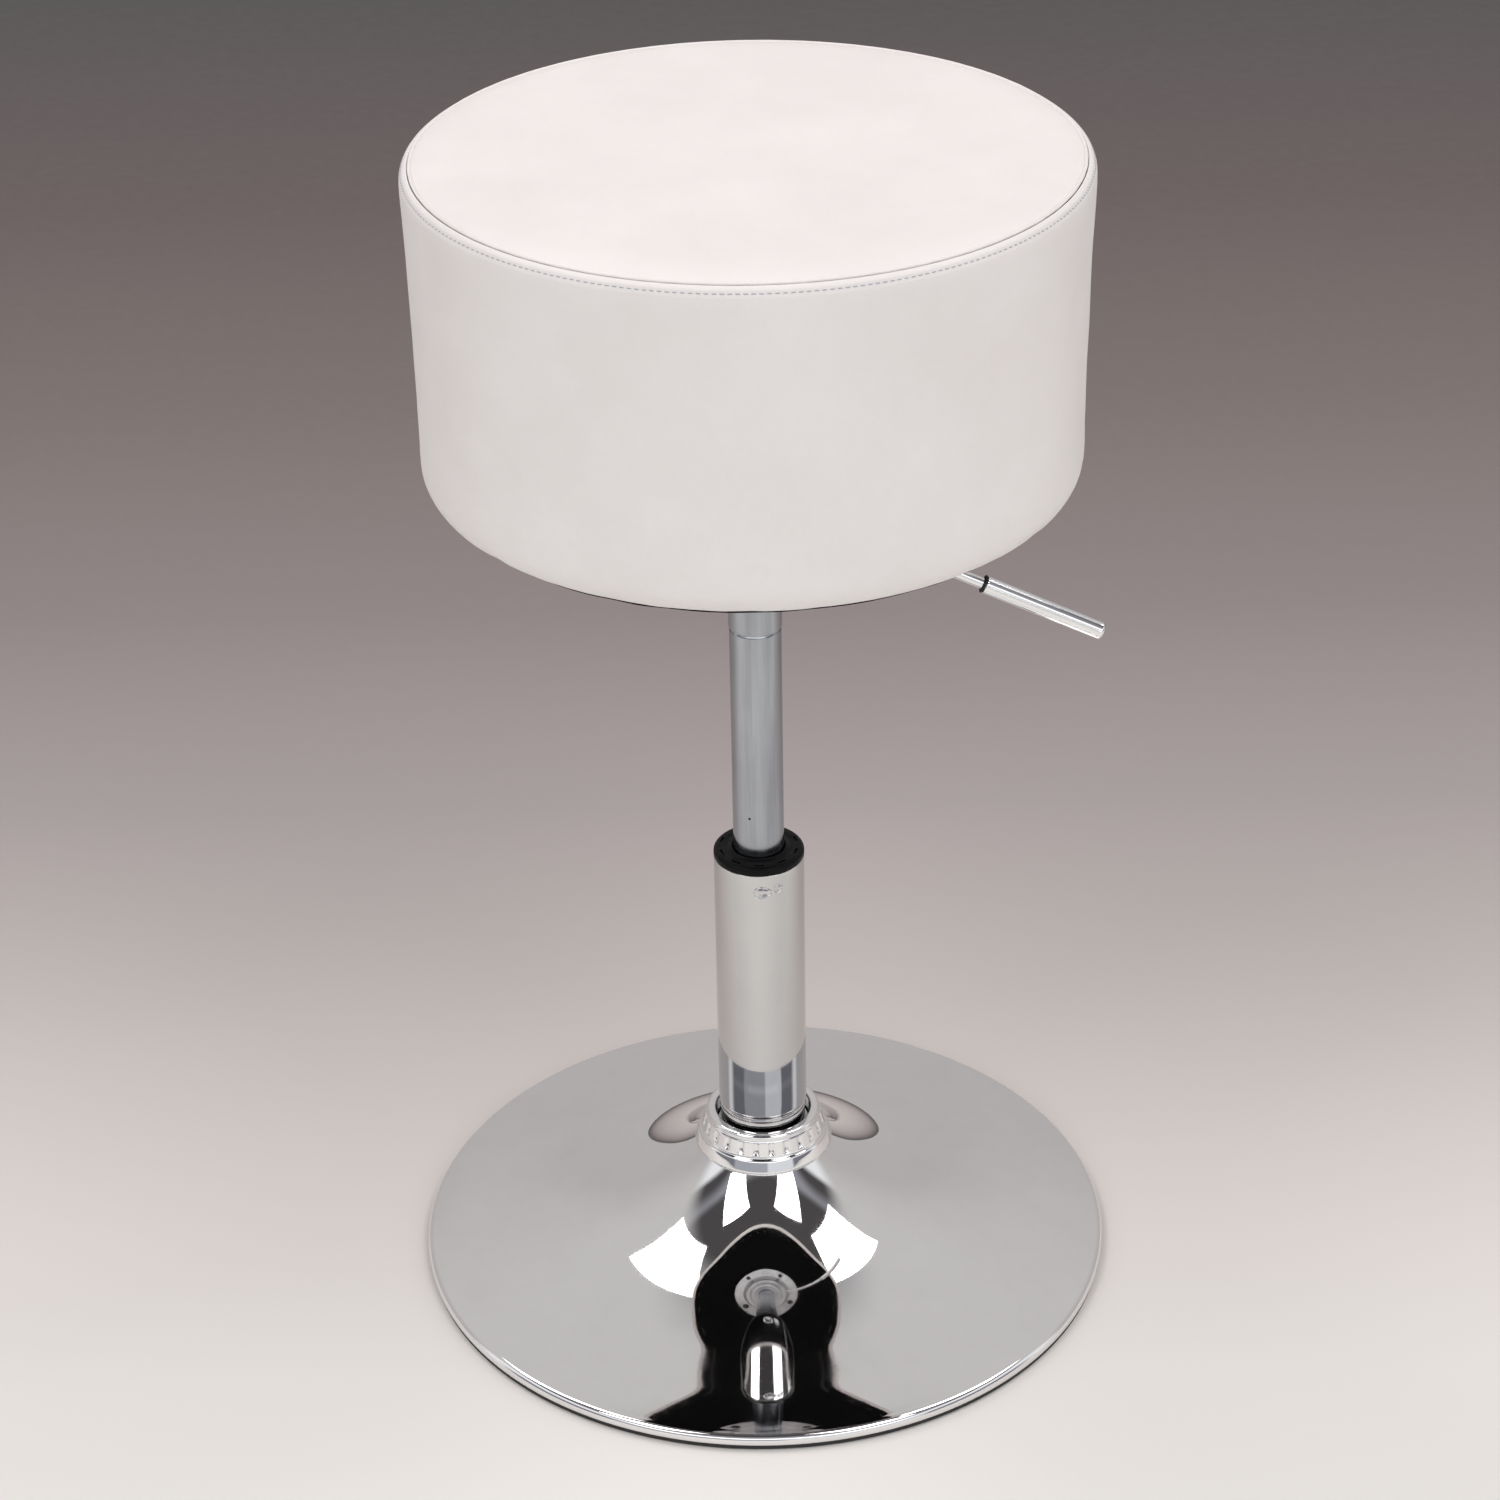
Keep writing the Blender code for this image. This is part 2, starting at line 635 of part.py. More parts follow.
def build_swivel(swivel):
    bore = ROD_RADIUS + FIT_GAP
    piston_radius = TUBE_RADIUS - TUBE_WALL - 0.0004
    seal_groove = 0.0100
    groove_bottom = PISTON_BOTTOM + 0.0047
    groove_top = groove_bottom + 0.0030
    build_piston_rod(swivel)
    build_retaining_clip(swivel)
    washer_loop = ring_loop(bore, 0.0095, CLIP_GROOVE_TOP + 0.0002, STAND_BOTTOM)
    turned("clip_washer", washer_loop, SMALL_SIDES, "zinc_steel", swivel)
    race_loop = ring_loop(bore, RACE_RADIUS, UPPER_RACE_BOTTOM, UPPER_RACE_TOP, 0.0003)
    turned("upper_race", race_loop, SMALL_SIDES, "satin_steel", swivel)
    bumper_loop = ring_loop(bore, 0.0105, UPPER_RACE_TOP + FIT_GAP, BUMPER_TOP, 0.0015)
    turned("rubber_bumper", bumper_loop, SMALL_SIDES, "black_rubber", swivel)
    piston_bore = ROD_NECK_RADIUS + FIT_GAP
    piston_loop = [
        (piston_radius, PISTON_TOP),
        (piston_radius, groove_top),
        (seal_groove, groove_top),
        (seal_groove, groove_bottom),
        (piston_radius, groove_bottom),
        (piston_radius, PISTON_BOTTOM),
        (piston_bore, PISTON_BOTTOM),
        (piston_bore, PISTON_TOP),
    ]
    turned("piston", piston_loop, SMALL_SIDES, "black_plastic", swivel)
    seal_outer = TUBE_RADIUS - TUBE_WALL - FIT_GAP
    seal_loop = ring_loop(
        seal_groove + FIT_GAP, seal_outer, groove_bottom + FIT_GAP, groove_top - FIT_GAP
    )
    turned("piston_seal", seal_loop, SMALL_SIDES, "black_rubber", swivel)
    nut_loop = ring_loop(piston_bore, 0.0070, PISTON_TOP + FIT_GAP, ROD_TOP)
    turned("piston_nut", nut_loop, 6 * 2, "zinc_steel", swivel)


# ---------------------------------------------------------------- lift: pressure tube and seat plate
def build_pressure_tube(lift):
    low_cone, high_cone = CONE_RADII
    loop = [
        (high_cone - 0.0004, TUBE_TOP),
        (high_cone, TUBE_TOP - 0.0004),
        (low_cone, TUBE_SHOULDER + 0.0010),
        (TUBE_RADIUS, TUBE_SHOULDER),
        (TUBE_RADIUS, TUBE_BOTTOM + 0.0008),
        (TUBE_RADIUS - 0.0008, TUBE_BOTTOM),
        (0.0075, TUBE_BOTTOM),
        (0.0075, TUBE_BOTTOM + 0.0012),
        (TUBE_RADIUS - TUBE_WALL, TUBE_BOTTOM + 0.0012),
        (TUBE_RADIUS - TUBE_WALL, TUBE_SHOULDER - 0.0020),
        (low_cone - 0.0013, TUBE_SHOULDER),
        (high_cone - 0.0013, TUBE_TOP - 0.0015),
        (0.0060, TUBE_TOP - 0.0015),
        (0.0060, TUBE_TOP),
    ]
    turned("pressure_tube", loop, COLUMN_SIDES, "satin_steel", lift)


def build_spring_internals(lift):
    bore = ROD_RADIUS + FIT_GAP
    radius = TUBE_RADIUS - TUBE_WALL - FIT_GAP
    guide_bottom = TUBE_BOTTOM + 0.0015
    guide_top = guide_bottom + 0.0100
    guide_loop = ring_loop(bore, radius, guide_bottom, guide_top)
    turned("rod_guide", guide_loop, SMALL_SIDES, "black_plastic", lift)
    seal_loop = ring_loop(bore, radius, guide_top + FIT_GAP, guide_top + 0.0045, 0.0006)
    turned("rod_seal", seal_loop, SMALL_SIDES, "black_rubber", lift)
    valve_top = TUBE_TOP - 0.0015 - FIT_GAP
    valve_loop = ring_loop(0.0030, 0.0109, VALVE_BODY_BOTTOM, valve_top, 0.0006)
    turned("valve_body", valve_loop, SMALL_SIDES, "zinc_steel", lift)


def build_seat_plate(lift, screw_holes):
    top = PLATE_TOP
    bottom = PLATE_TOP - PLATE_THICKNESS
    floor_top = DISH_FLOOR_TOP
    floor_bottom = DISH_FLOOR_TOP - PLATE_THICKNESS
    hole = 0.0148
    loop = [
        (hole, floor_top),
        (0.0385, floor_top),
        (0.0405, floor_top + 0.0010),
        (0.0470, top - 0.0015),
        (0.0490, top),
        (PLATE_RADIUS, top),
        (PLATE_RADIUS, bottom),
        (0.0505, bottom),
        (0.0490, bottom - 0.0010),
        (0.0425, floor_bottom + 0.0010),
        (0.0405, floor_bottom),
        (hole, floor_bottom),
    ]
    plate = turned("seat_plate", loop, COLUMN_SIDES, "zinc_steel", lift)
    cut(plate, screw_holes)
    # The slot that the lever passes through, low in the dish's wall and tilted with the lever
    slot = box_bmesh((0.0022, -0.0043, -0.0041), (0.0182, 0.0043, 0.0056))
    slot_mesh = mesh_of("lever_slot_cutter", slot, "zinc_steel")
    tilt = (0.0, math.radians(LEVER_DROOP), math.radians(LEVER_ANGLE))
    cut(plate, cutter("lever_slot_cutter", slot_mesh, lift, lever_pivot(), tilt))


def build_plate_socket(lift):
    """The tapered socket welded into the plate, which the pressure tube's cone jams in."""
    top = DISH_FLOOR_TOP - 0.0005
    low_bore = CONE_RADII[0] + FIT_GAP
    taper = (CONE_RADII[0] - CONE_RADII[1]) / (TUBE_TOP - TUBE_SHOULDER)
    high_bore = CONE_RADII[1] + taper * (TUBE_TOP - top) + FIT_GAP
    loop = ring_loop(low_bore, 0.0144, PLATE_SOCKET_BOTTOM, top)
    loop[-1] = (high_bore, top)
    turned("plate_socket", loop, COLUMN_SIDES, "satin_steel", lift)


def build_plate_screws(lift):
    """Pan-head screws up through the plate, each in a tee nut on the seat board."""
    head_top = PLATE_TOP - PLATE_THICKNESS - FIT_GAP
    board_top = BOARD_BOTTOM + BOARD_THICKNESS
    radius = PLATE_SCREW_RADIUS
    head_loop = [
        (0.0, board_top - 0.0010),
        (radius, board_top - 0.0010),
        (radius, head_top),
        (0.0058, head_top),
        (0.0056, head_top - 0.0020),
        (0.0040, head_top - 0.0033),
        (0.0, head_top - 0.0036),
    ]
    nut_bore = radius + FIT_GAP
    nut_loop = [
        (nut_bore, board_top + FIT_GAP + 0.0012),
        (0.0090, board_top + FIT_GAP + 0.0012),
        (0.0090, board_top + FIT_GAP),
        (0.0042, board_top + FIT_GAP),
        (0.0042, BOARD_BOTTOM + 0.0030),
        (nut_bore, BOARD_BOTTOM + 0.0030),
    ]
    screw = mesh_of("plate_screw", turned_bmesh(head_loop, PIN_SIDES), "black_iron")
    nut = mesh_of("tee_nut", turned_bmesh(nut_loop, PIN_SIDES), "zinc_steel")
    places = on_circle(PLATE_SCREW_CIRCLE, PLATE_SCREW_COUNT, PLATE_SCREW_START)
    for index, (x, y, _) in enumerate(places):
        place(f"plate_screw_{index + 1}", screw, lift, (x, y, 0.0))
        place(f"tee_nut_{index + 1}", nut, lift, (x, y, 0.0))


def lever_pivot():
    """The middle of the lever's pivot pin."""
    angle = math.radians(LEVER_ANGLE)
    reach = LEVER_PIVOT_RADIUS
    return (reach * math.cos(angle), reach * math.sin(angle), LEVER_PIVOT_HEIGHT)


def build_lever_bracket(lift):
    """A U-shaped bracket on the dish floor, whose ears hold the lever's pivot pin."""
    floor = DISH_FLOOR_TOP + FIT_GAP - LEVER_PIVOT_HEIGHT
    inner = LEVER_RADIUS + 0.0010
    outer = inner + 0.0015
    top = 0.0038
    base_top = floor + 0.0012
    half_length = 0.0030
    section = [(-outer, floor), (outer, floor), (outer, top), (inner, top)]
    section += [(inner, base_top), (-inner, base_top), (-inner, top), (-outer, top)]
    bm = bmesh.new()
    near = [bm.verts.new((-half_length, y, z)) for y, z in section]
    far = [bm.verts.new((half_length, y, z)) for y, z in section]
    for index in range(len(section)):
        following = (index + 1) % len(section)
        bm.faces.new((near[index], near[following], far[following], far[index]))
    bm.faces.new(near[::-1])
    bm.faces.new(far)
    bmesh.ops.triangulate(bm, faces=[face for face in bm.faces if len(face.verts) > 4])
    angle = math.radians(LEVER_ANGLE)
    where = lever_pivot()
    mesh = mesh_of("lever_bracket", bm, "zinc_steel")
    bracket = place("lever_bracket", mesh, lift, where, (0.0, 0.0, angle))
    drill_loop = ring_loop(0.0, PIVOT_PIN_RADIUS + FIT_GAP, -0.0100, 0.0100)
    drill_mesh = mesh_of("pivot_drill", turned_bmesh(drill_loop, PIN_SIDES), "zinc_steel")
    across = (math.radians(90.0), 0.0, angle)
    drill = cutter("pivot_drill", drill_mesh, lift, where, across)
    cut(bracket, drill)
    half_pin = outer + 0.0012
    pin_loop = ring_loop(0.0, PIVOT_PIN_RADIUS, -half_pin, half_pin)
    pin_mesh = mesh_of("pivot_pin", turned_bmesh(pin_loop, PIN_SIDES), "satin_steel")
    place("pivot_pin", pin_mesh, lift, where, across)
    return drill


# ---------------------------------------------------------------- lever and valve
def build_lever(lever, drill):
    """Pieces along the drooping lever, from its pivot at the lever frame's origin."""
    along = (0.0, math.radians(90.0 + LEVER_DROOP), 0.0)
    rod_end = GRIP_END - 0.0060
    rod_loop = [
        (0.0, rod_end),
        (LEVER_RADIUS, rod_end),
        (LEVER_RADIUS, LEVER_INNER_END + 0.0005),
        (LEVER_RADIUS - 0.0005, LEVER_INNER_END),
        (0.0, LEVER_INNER_END),
    ]
    cut(turned("lever_rod", rod_loop, PIN_SIDES, "chrome", lever, along), drill)
    bore = LEVER_RADIUS + FIT_GAP
    ring_far = GRIP_START - FIT_GAP
    grip_ring = ring_loop(bore, GRIP_RADIUS + 0.0001, ring_far - GRIP_RING_WIDTH, ring_far, 0.0003)
    turned("grip_ring", grip_ring, PIN_SIDES, "black_rubber", lever, along)
    grip_loop = [
        (0.0, GRIP_END),
        (GRIP_RADIUS - 0.0016, GRIP_END),
        (GRIP_RADIUS, GRIP_END - 0.0012),
        (GRIP_RADIUS, GRIP_START),
        (bore, GRIP_START),
        (bore, rod_end + FIT_GAP),
        (0.0, rod_end + FIT_GAP),
    ]
    grooved = (2, 3)

    def radius_at(index, angle):
        in_groove = round(angle * GRIP_GROOVE_COUNT * 3 / (2.0 * math.pi)) % 3 == 0
        return grip_loop[index][0] - (GRIP_GROOVE_DEPTH if index in grooved and in_groove else 0.0)

    bm = turned_bmesh(grip_loop, GRIP_GROOVE_COUNT * 3, radius_at)
    place("lever_grip", mesh_of("lever_grip", bm, "chrome"), lever, rotation=along)


def build_valve(valve):
    """The pin that the lever presses to open the gas spring's valve."""
    button = 0.0045
    neck = 0.0026
    loop = [
        (0.0, VALVE_PIN_TOP),
        (button - 0.0010, VALVE_PIN_TOP),
        (button, VALVE_PIN_TOP - 0.0010),
        (button, VALVE_PIN_TOP - 0.0058),
        (neck, VALVE_PIN_TOP - 0.0058),
        (neck, VALVE_PIN_BOTTOM),
        (0.0, VALVE_PIN_BOTTOM),
    ]
    turned("valve_pin", loop, PIN_SIDES, "satin_steel", valve)


# ---------------------------------------------------------------- seat
def side_profile(inset, steps=4):
    """The drum's side from the top seam to the edge under the seat, moved inwards by inset."""
    top_centre = (SEAT_RADIUS_TOP - TOP_ROLL, SIDE_TOP)
    bottom_centre = (SEAT_RADIUS_BOTTOM - BOTTOM_ROLL, SIDE_BOTTOM)
    points = arc(top_centre, TOP_ROLL - inset, 75.0, 0.0, 2)
    for step in range(1, steps):
        t = step / steps
        straight = SEAT_RADIUS_TOP + (SEAT_RADIUS_BOTTOM - SEAT_RADIUS_TOP) * t
        bulge = SEAT_BULGE * 4 * t * (1 - t)
        points.append((straight + bulge - inset, SIDE_TOP + (SIDE_BOTTOM - SIDE_TOP) * t))
    points += arc(bottom_centre, BOTTOM_ROLL - inset, 0.0, -90.0, 3)
    return points


def build_seat_board(lift, nut_holes):
    loop = ring_loop(0.0, BOARD_RADIUS, BOARD_BOTTOM, BOARD_BOTTOM + BOARD_THICKNESS, 0.0010)
    cut(turned("seat_board", loop, WIDE_SIDES, "plywood", lift), nut_holes)


def build_foam(lift):
    """The foam drum, with a skirt that pads the board's edge."""
    inset = COVER_THICKNESS + 0.0004
    skirt_bottom = BOARD_BOTTOM + 0.0012
    underside = BOARD_BOTTOM + BOARD_THICKNESS + 0.0022
    outer = [point for point in side_profile(inset)[1:] if point[1] > skirt_bottom]
    loop = [(0.0, FOAM_TOP), (SEAM_RADIUS - 0.0060, FOAM_TOP)]
    loop += outer
    loop += [(BOARD_RADIUS + 0.0010, skirt_bottom), (BOARD_RADIUS + 0.0010, underside), (0.0, underside)]
    turned("foam_core", loop, WIDE_SIDES, "seat_foam", lift)


def build_covers(lift):
    thickness = COVER_THICKNESS
    edge = SEAM_RADIUS - PIPING_RADIUS - FIT_GAP
    top_loop = [
        (0.0, SEAT_TOP),
        (edge - 0.0060, SEAT_TOP),
        (edge, SEAT_TOP - 0.0009),
        (edge, SEAT_TOP - 0.0009 - thickness),
        (edge - 0.0060, SEAT_TOP - thickness),
        (0.0, SEAT_TOP - thickness),
    ]
    turned("cover_top", top_loop, WIDE_SIDES, "white_leatherette", lift)
    outer = side_profile(0.0) + [(WRAP_RADIUS, SEAT_BOTTOM)]
    inner = side_profile(thickness) + [(WRAP_RADIUS, SEAT_BOTTOM + thickness)]
    turned("cover_side", outer + inner[::-1], WIDE_SIDES, "white_leatherette", lift)
    piping_centre = (SEAM_RADIUS, SEAT_TOP - 0.0010)
    piping_loop = arc(piping_centre, PIPING_RADIUS, 0.0, -300.0, 5)
    turned("seam_piping", piping_loop, WIDE_SIDES, "white_leatherette", lift)


def build_dust_cover(lift, screw_holes):
    bottom = PLATE_TOP + FIT_GAP
    loop = ring_loop(0.0, WRAP_RADIUS - 0.0005, bottom, bottom + 0.0008)
    cut(turned("dust_cover", loop, WIDE_SIDES, "black_nonwoven", lift), screw_holes)


def build_lift(lift):
    pattern = (PLATE_SCREW_CIRCLE, PLATE_SCREW_COUNT, PLATE_SCREW_START)
    screw_radius = PLATE_SCREW_RADIUS + FIT_GAP
    screw_holes = hole_cutter("plate_screw_holes", screw_radius, 0.4800, 0.4920, *pattern)
    nut_holes = hole_cutter("tee_nut_holes", 0.0045, 0.4900, 0.5100, *pattern)
    build_pressure_tube(lift)
    build_spring_internals(lift)
    build_seat_plate(lift, screw_holes)
    build_plate_socket(lift)
    build_plate_screws(lift)
    build_seat_board(lift, nut_holes)
    build_foam(lift)
    build_covers(lift)
    build_dust_cover(lift, screw_holes)


def main():
    clear_scene()
    base = joint_frame("base_frame")
    swivel = joint_frame("swivel_axis", base)
    cage = joint_frame("ball_cage_axis", base)
    lift = joint_frame("lift_axis", swivel)
    valve = joint_frame("valve_axis", lift)
    lever = joint_frame("lever_pivot", lift, lever_pivot(), LEVER_ANGLE)
    build_base(base)
    build_ball_cage(cage)
    build_swivel(swivel)
    build_lift(lift)
    drill = build_lever_bracket(lift)
    build_lever(lever, drill)
    build_valve(valve)


main()
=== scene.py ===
"""Looks of the adjustable swivel stool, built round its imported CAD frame.

Units are metres and +Z is up, in the frame's own coordinates: the column stands on the
Z axis and the floor is at zero. Every piece made here rides on a CAD body by name.
The padded seat is simulated as cloth under pressure, then finished with its seam,
topstitch, gathers and staples. The chrome parts are turned again at a fine pitch.
"""

import json
import math

import bmesh
import bpy
import numpy as np
from mathutils import Matrix, Vector, noise


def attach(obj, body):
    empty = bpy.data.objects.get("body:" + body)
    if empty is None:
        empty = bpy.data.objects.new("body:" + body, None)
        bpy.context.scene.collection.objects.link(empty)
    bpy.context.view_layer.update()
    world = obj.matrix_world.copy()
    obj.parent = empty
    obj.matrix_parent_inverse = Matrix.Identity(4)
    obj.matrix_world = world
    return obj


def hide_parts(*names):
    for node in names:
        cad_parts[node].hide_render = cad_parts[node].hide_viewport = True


# ---------------------------------------------------------------- sizes, as in the CAD model
FIT_GAP = 0.0003

BASE_RADIUS = 0.1965
SHELL_THICKNESS = 0.0012
SHELL_EDGE_HEIGHT = 0.0033
SHELL_RIM_CENTRE = (0.1925, 0.0052)
# Stations of the spun curve: radius, height, slope in degrees below the horizontal
SHELL_STATIONS = (
    (0.0318, 0.0716, 46.4),
    (0.0430, 0.0609, 41.0),
    (0.0600, 0.0481, 33.0),
    (0.0820, 0.0357, 25.9),
    (0.1060, 0.0264, 16.7),
    (0.1150, 0.0239, 14.4),
    (0.1370, 0.0190, 10.7),
    (0.1600, 0.0149, 9.4),
    (0.1700, 0.0133, 9.1),
    (0.1830, 0.0111, 10.3),
    (0.1925, 0.0092, 13.0),
)
FLOOR_RING_OUTER = 0.1957
FLOOR_RING_INNER = 0.1802

COLLAR_BORE = 0.0268
COLLAR_RIB_COUNT = 24
COLLAR_RIB_DEPTH = 0.0008
COLLAR_GROOVE_SPAN = (0.0762, 0.0842)

STAND_RADIUS = 0.0250
STAND_END_RADIUS = 0.0240
STAND_BORE = 0.0232
STAND_END_BORE = 0.0224
STAND_BOTTOM = 0.0300
STAND_TOP = 0.2572
BUSH_TOP = 0.2620
BUSH_BOTTOM = 0.1920
BUSH_SLOT_COUNT = 10
BUSH_SLOT_RADIUS = 0.0212
# Crimps: angle in degrees about Z, height, half width, half height, depth
CRIMPS = (
    (-86.0, 0.2466, 0.0049, 0.0037, 0.00075),
    (-65.5, 0.2482, 0.0025, 0.0024, 0.00050),
)
CRIMP_GROOVE_WIDTH = 0.00024
CRIMP_GROOVE_DEPTH = 0.00040

TUBE_RADIUS = 0.0140
TUBE_WALL = 0.0015
TUBE_BOTTOM = 0.1800
TUBE_SHOULDER = 0.3980
TUBE_TOP = 0.4620
CONE_RADII = (0.0133, 0.0127)
SOCKET_BOTTOM = 0.3995
SOCKET_RADIUS = 0.0144
PINHOLE = (-110.0, 0.2870, 0.0007)  # angle, height, radius

PLATE_RADIUS = 0.0700
PLATE_TOP = 0.4905
PLATE_THICKNESS = 0.0025
DISH_FLOOR_TOP = 0.4545
# Plate screws: x and y of each
PLATE_SCREWS = ((0.0460, 0.0386), (-0.0386, 0.0460), (-0.0460, -0.0386), (0.0386, -0.0460))

LEVER_ANGLE = -1.5  # degrees about Z from +X
LEVER_DROOP = 24.4  # degrees below the horizontal
LEVER_AXIS_HEIGHT = 0.4779  # where its centre line crosses the column's axis
LEVER_RADIUS = 0.0031
# Distances along the lever from the column's axis
LEVER_PIVOT = 0.0384
LEVER_INNER_END = -0.0099
GRIP_START = 0.1333
GRIP_END = 0.2023
GRIP_RADIUS = 0.0048
GRIP_RING_WIDTH = 0.0010
GRIP_GROOVE_COUNT = 8
GRIP_GROOVE_DEPTH = 0.00040

SEAT_RADIUS_TOP = 0.1720
SEAT_RADIUS_BOTTOM = 0.1700
SEAT_BOTTOM = 0.4903
SEAT_TOP = 0.6645
TOP_ROLL = 0.0052
BOTTOM_ROLL = 0.0160
WRAP_RADIUS = 0.1445
# How far the black dust cloth reaches: the real cloth, and past it painted shade carried round the bottom
# roll's underside
CLOTH_AND_PAINTED_SHADE_RADIUS = 0.1600
CLOTH_LAP = 0.0011  # how far the dust cloth steps down where it laps over the cover's edge
SEAM_RADIUS = 0.1668
PIPING_RADIUS = 0.0009
SIDE_TOP = SEAT_TOP - 0.0013 - TOP_ROLL
SIDE_BOTTOM = SEAT_BOTTOM + BOTTOM_ROLL

# ---------------------------------------------------------------- facets
WIDE_SIDES = 288
TUBE_SIDES = 192
STAND_SIDES = 560
SMALL_SIDES = 96

# ---------------------------------------------------------------- padding
SEAT_SIDES = 192  # round the drum, before the one subdivision
SIM_FRAMES = 20
SIM_PRESSURE = 4.0
SIM_SLACK = -0.004  # how much larger than its pattern the cover is
SIDE_START_INSET = 0.0008  # the side starts this much smaller than it ends
SIDE_CAP = 0.0026
TOP_CAP = 0.0016
STITCH_COUNT = 298
STITCH_ANGLE = 24.0  # degrees up the top roll
STITCH_LENGTH = 0.0026
STITCH_RADIUS = 0.00030

# ---------------------------------------------------------------- studio
# Tones of the room, by direction
PALE_FRONT = (1.80, 1.79, 1.78)
GREY_FRONT = (0.30, 0.30, 0.33)
DARK_ABOVE_CAMERA = (0.075, 0.070, 0.072)
PALE_PANEL = (0.90, 0.91, 0.93)
GREY_LOW_BEHIND = (0.50, 0.475, 0.475)
GREY_BEHIND = (0.60, 0.585, 0.575)
GREY_OVERHEAD = (0.33, 0.33, 0.335)
DIM_ROOM = (0.20, 0.20, 0.23)
GREY_ROOM = (0.40, 0.41, 0.45)
HALF_LIT_ROOM = (0.75, 0.77, 0.81)
LIGHT_DISTANCE = 5.0
LIGHT_POWER = 38.0
LIGHT_COLOUR = (1.0, 0.955, 0.940)
# The floor's tones along Y, each at its share of the way from near to far: painted shade that darkens the
# floor with distance, and near the base painted light that offsets the shadow round it
FLOOR_NEAR = -0.30
FLOOR_FAR = 2.40
FLOOR_PAINTED_SHADE_TONES = (
    (0.00, (0.93, 0.92, 0.88)),
    (0.06, (0.90, 0.88, 0.85)),
    (0.12, (0.77, 0.73, 0.70)),
    (0.20, (0.59, 0.55, 0.53)),
    (0.29, (0.41, 0.37, 0.37)),
    (0.40, (0.29, 0.25, 0.25)),
    (0.54, (0.21, 0.18, 0.17)),
    (0.72, (0.15, 0.12, 0.12)),
    (1.00, (0.09, 0.09, 0.09)),
)

# Softboxes: azimuth and elevation in degrees, then width and height per metre of distance
SOFTBOXES = {
    "box_back_left": (147.0, 61.0, 0.34, 0.32),
    "box_back_right": (20.0, 62.5, 0.33, 0.32),
    "box_front_left": (-142.0, 59.0, 0.30, 0.36),
    "box_front_right": (-47.0, 60.0, 0.31, 0.36),
}
FLOOR_HALF = 9.0
FLOOR_DROP = 0.0002
CAMERA_PLACE = (0.0, -1.679, 1.293)
CAMERA_TURN = (-0.1332, 30.0251, -1.0084)  # degrees: yaw to the right, pitch downwards, roll
CAMERA_LENS = 85.99
CAMERA_SENSOR = 36.0

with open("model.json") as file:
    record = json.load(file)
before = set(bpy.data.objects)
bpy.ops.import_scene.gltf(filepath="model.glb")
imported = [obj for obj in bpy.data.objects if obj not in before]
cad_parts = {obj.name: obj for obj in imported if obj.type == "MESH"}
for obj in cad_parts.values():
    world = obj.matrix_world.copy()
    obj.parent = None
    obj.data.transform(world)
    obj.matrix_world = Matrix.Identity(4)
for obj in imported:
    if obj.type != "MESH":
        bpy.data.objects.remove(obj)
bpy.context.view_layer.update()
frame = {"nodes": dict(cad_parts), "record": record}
nodes = frame["nodes"]


# ---------------------------------------------------------------- materials
class Finish:
    """A procedural material, made node by node round one principled shader."""

    def __init__(self, name):
        self.material = bpy.data.materials.new(name)
        self.material.use_nodes = True
        self.tree = self.material.node_tree
        self.shader = self.tree.nodes["Principled BSDF"]
        self.place = self.tree.nodes.new("ShaderNodeTexCoord").outputs["Object"]

    def set(self, **values):
        """Sets sockets of the shader: underscores stand for spaces."""
        for name, value in values.items():
            socket = self.shader.inputs[name.replace("_", " ")]
            socket.default_value = (*value, 1.0) if isinstance(value, tuple) else value

    def feed(self, name, output):
        self.tree.links.new(output, self.shader.inputs[name])

    def node(self, kind, **inputs):
        made = self.tree.nodes.new("ShaderNode" + kind)
        for name, value in inputs.items():
            socket = made.inputs[name.replace("_", " ")]
            if isinstance(value, bpy.types.NodeSocket):
                self.tree.links.new(value, socket)
            else:
                socket.default_value = value
        return made

    def stretched(self, x, y, z):
        """The object's coordinates, each times a factor."""
        made = self.node("Mapping", Vector=self.place)
        made.inputs["Scale"].default_value = (x, y, z)
        return made.outputs["Vector"]

    def noise(self, scale, detail=4.0, roughness=0.55, vector=None, distortion=0.0):
        made = self.node("TexNoise", Scale=scale, Detail=detail, Roughness=roughness, Distortion=distortion)
        self.tree.links.new(vector or self.place, made.inputs["Vector"])
        return made.outputs["Fac"]

    def cells(self, scale, feature="DISTANCE_TO_EDGE", vector=None):
        made = self.node("TexVoronoi", Scale=scale)
        made.feature = feature
        self.tree.links.new(vector or self.place, made.inputs["Vector"])
        return made.outputs["Distance"]

    def spread(self, value, low, high, to_low, to_high):
        made = self.node("MapRange", Value=value)
        made.inputs["From Min"].default_value = low
        made.inputs["From Max"].default_value = high
        made.inputs["To Min"].default_value = to_low
        made.inputs["To Max"].default_value = to_high
        return made.outputs["Result"]

    def maths(self, operation, first, second):
        made = self.tree.nodes.new("ShaderNodeMath")
        made.operation = operation
        for socket, value in zip(made.inputs, (first, second)):
            if isinstance(value, bpy.types.NodeSocket):
                self.tree.links.new(value, socket)
            else:
                socket.default_value = value
        return made.outputs["Value"]

    def ramp(self, value, stops):
        """Colours along a value: each stop is a position and a colour."""
        made = self.node("ValToRGB", Fac=value)
        elements = made.color_ramp.elements
        while len(elements) < len(stops):
            elements.new(0.5)
        for element, (position, colour) in zip(elements, stops):
            element.position = position
            element.color = (*colour, 1.0)
        return made.outputs["Color"]

    def bump(self, height, distance, strength=1.0, normal=None):
        made = self.node("Bump", Height=height, Distance=distance, Strength=strength)
        if normal:
            self.tree.links.new(normal, made.inputs["Normal"])
        return made.outputs["Normal"]


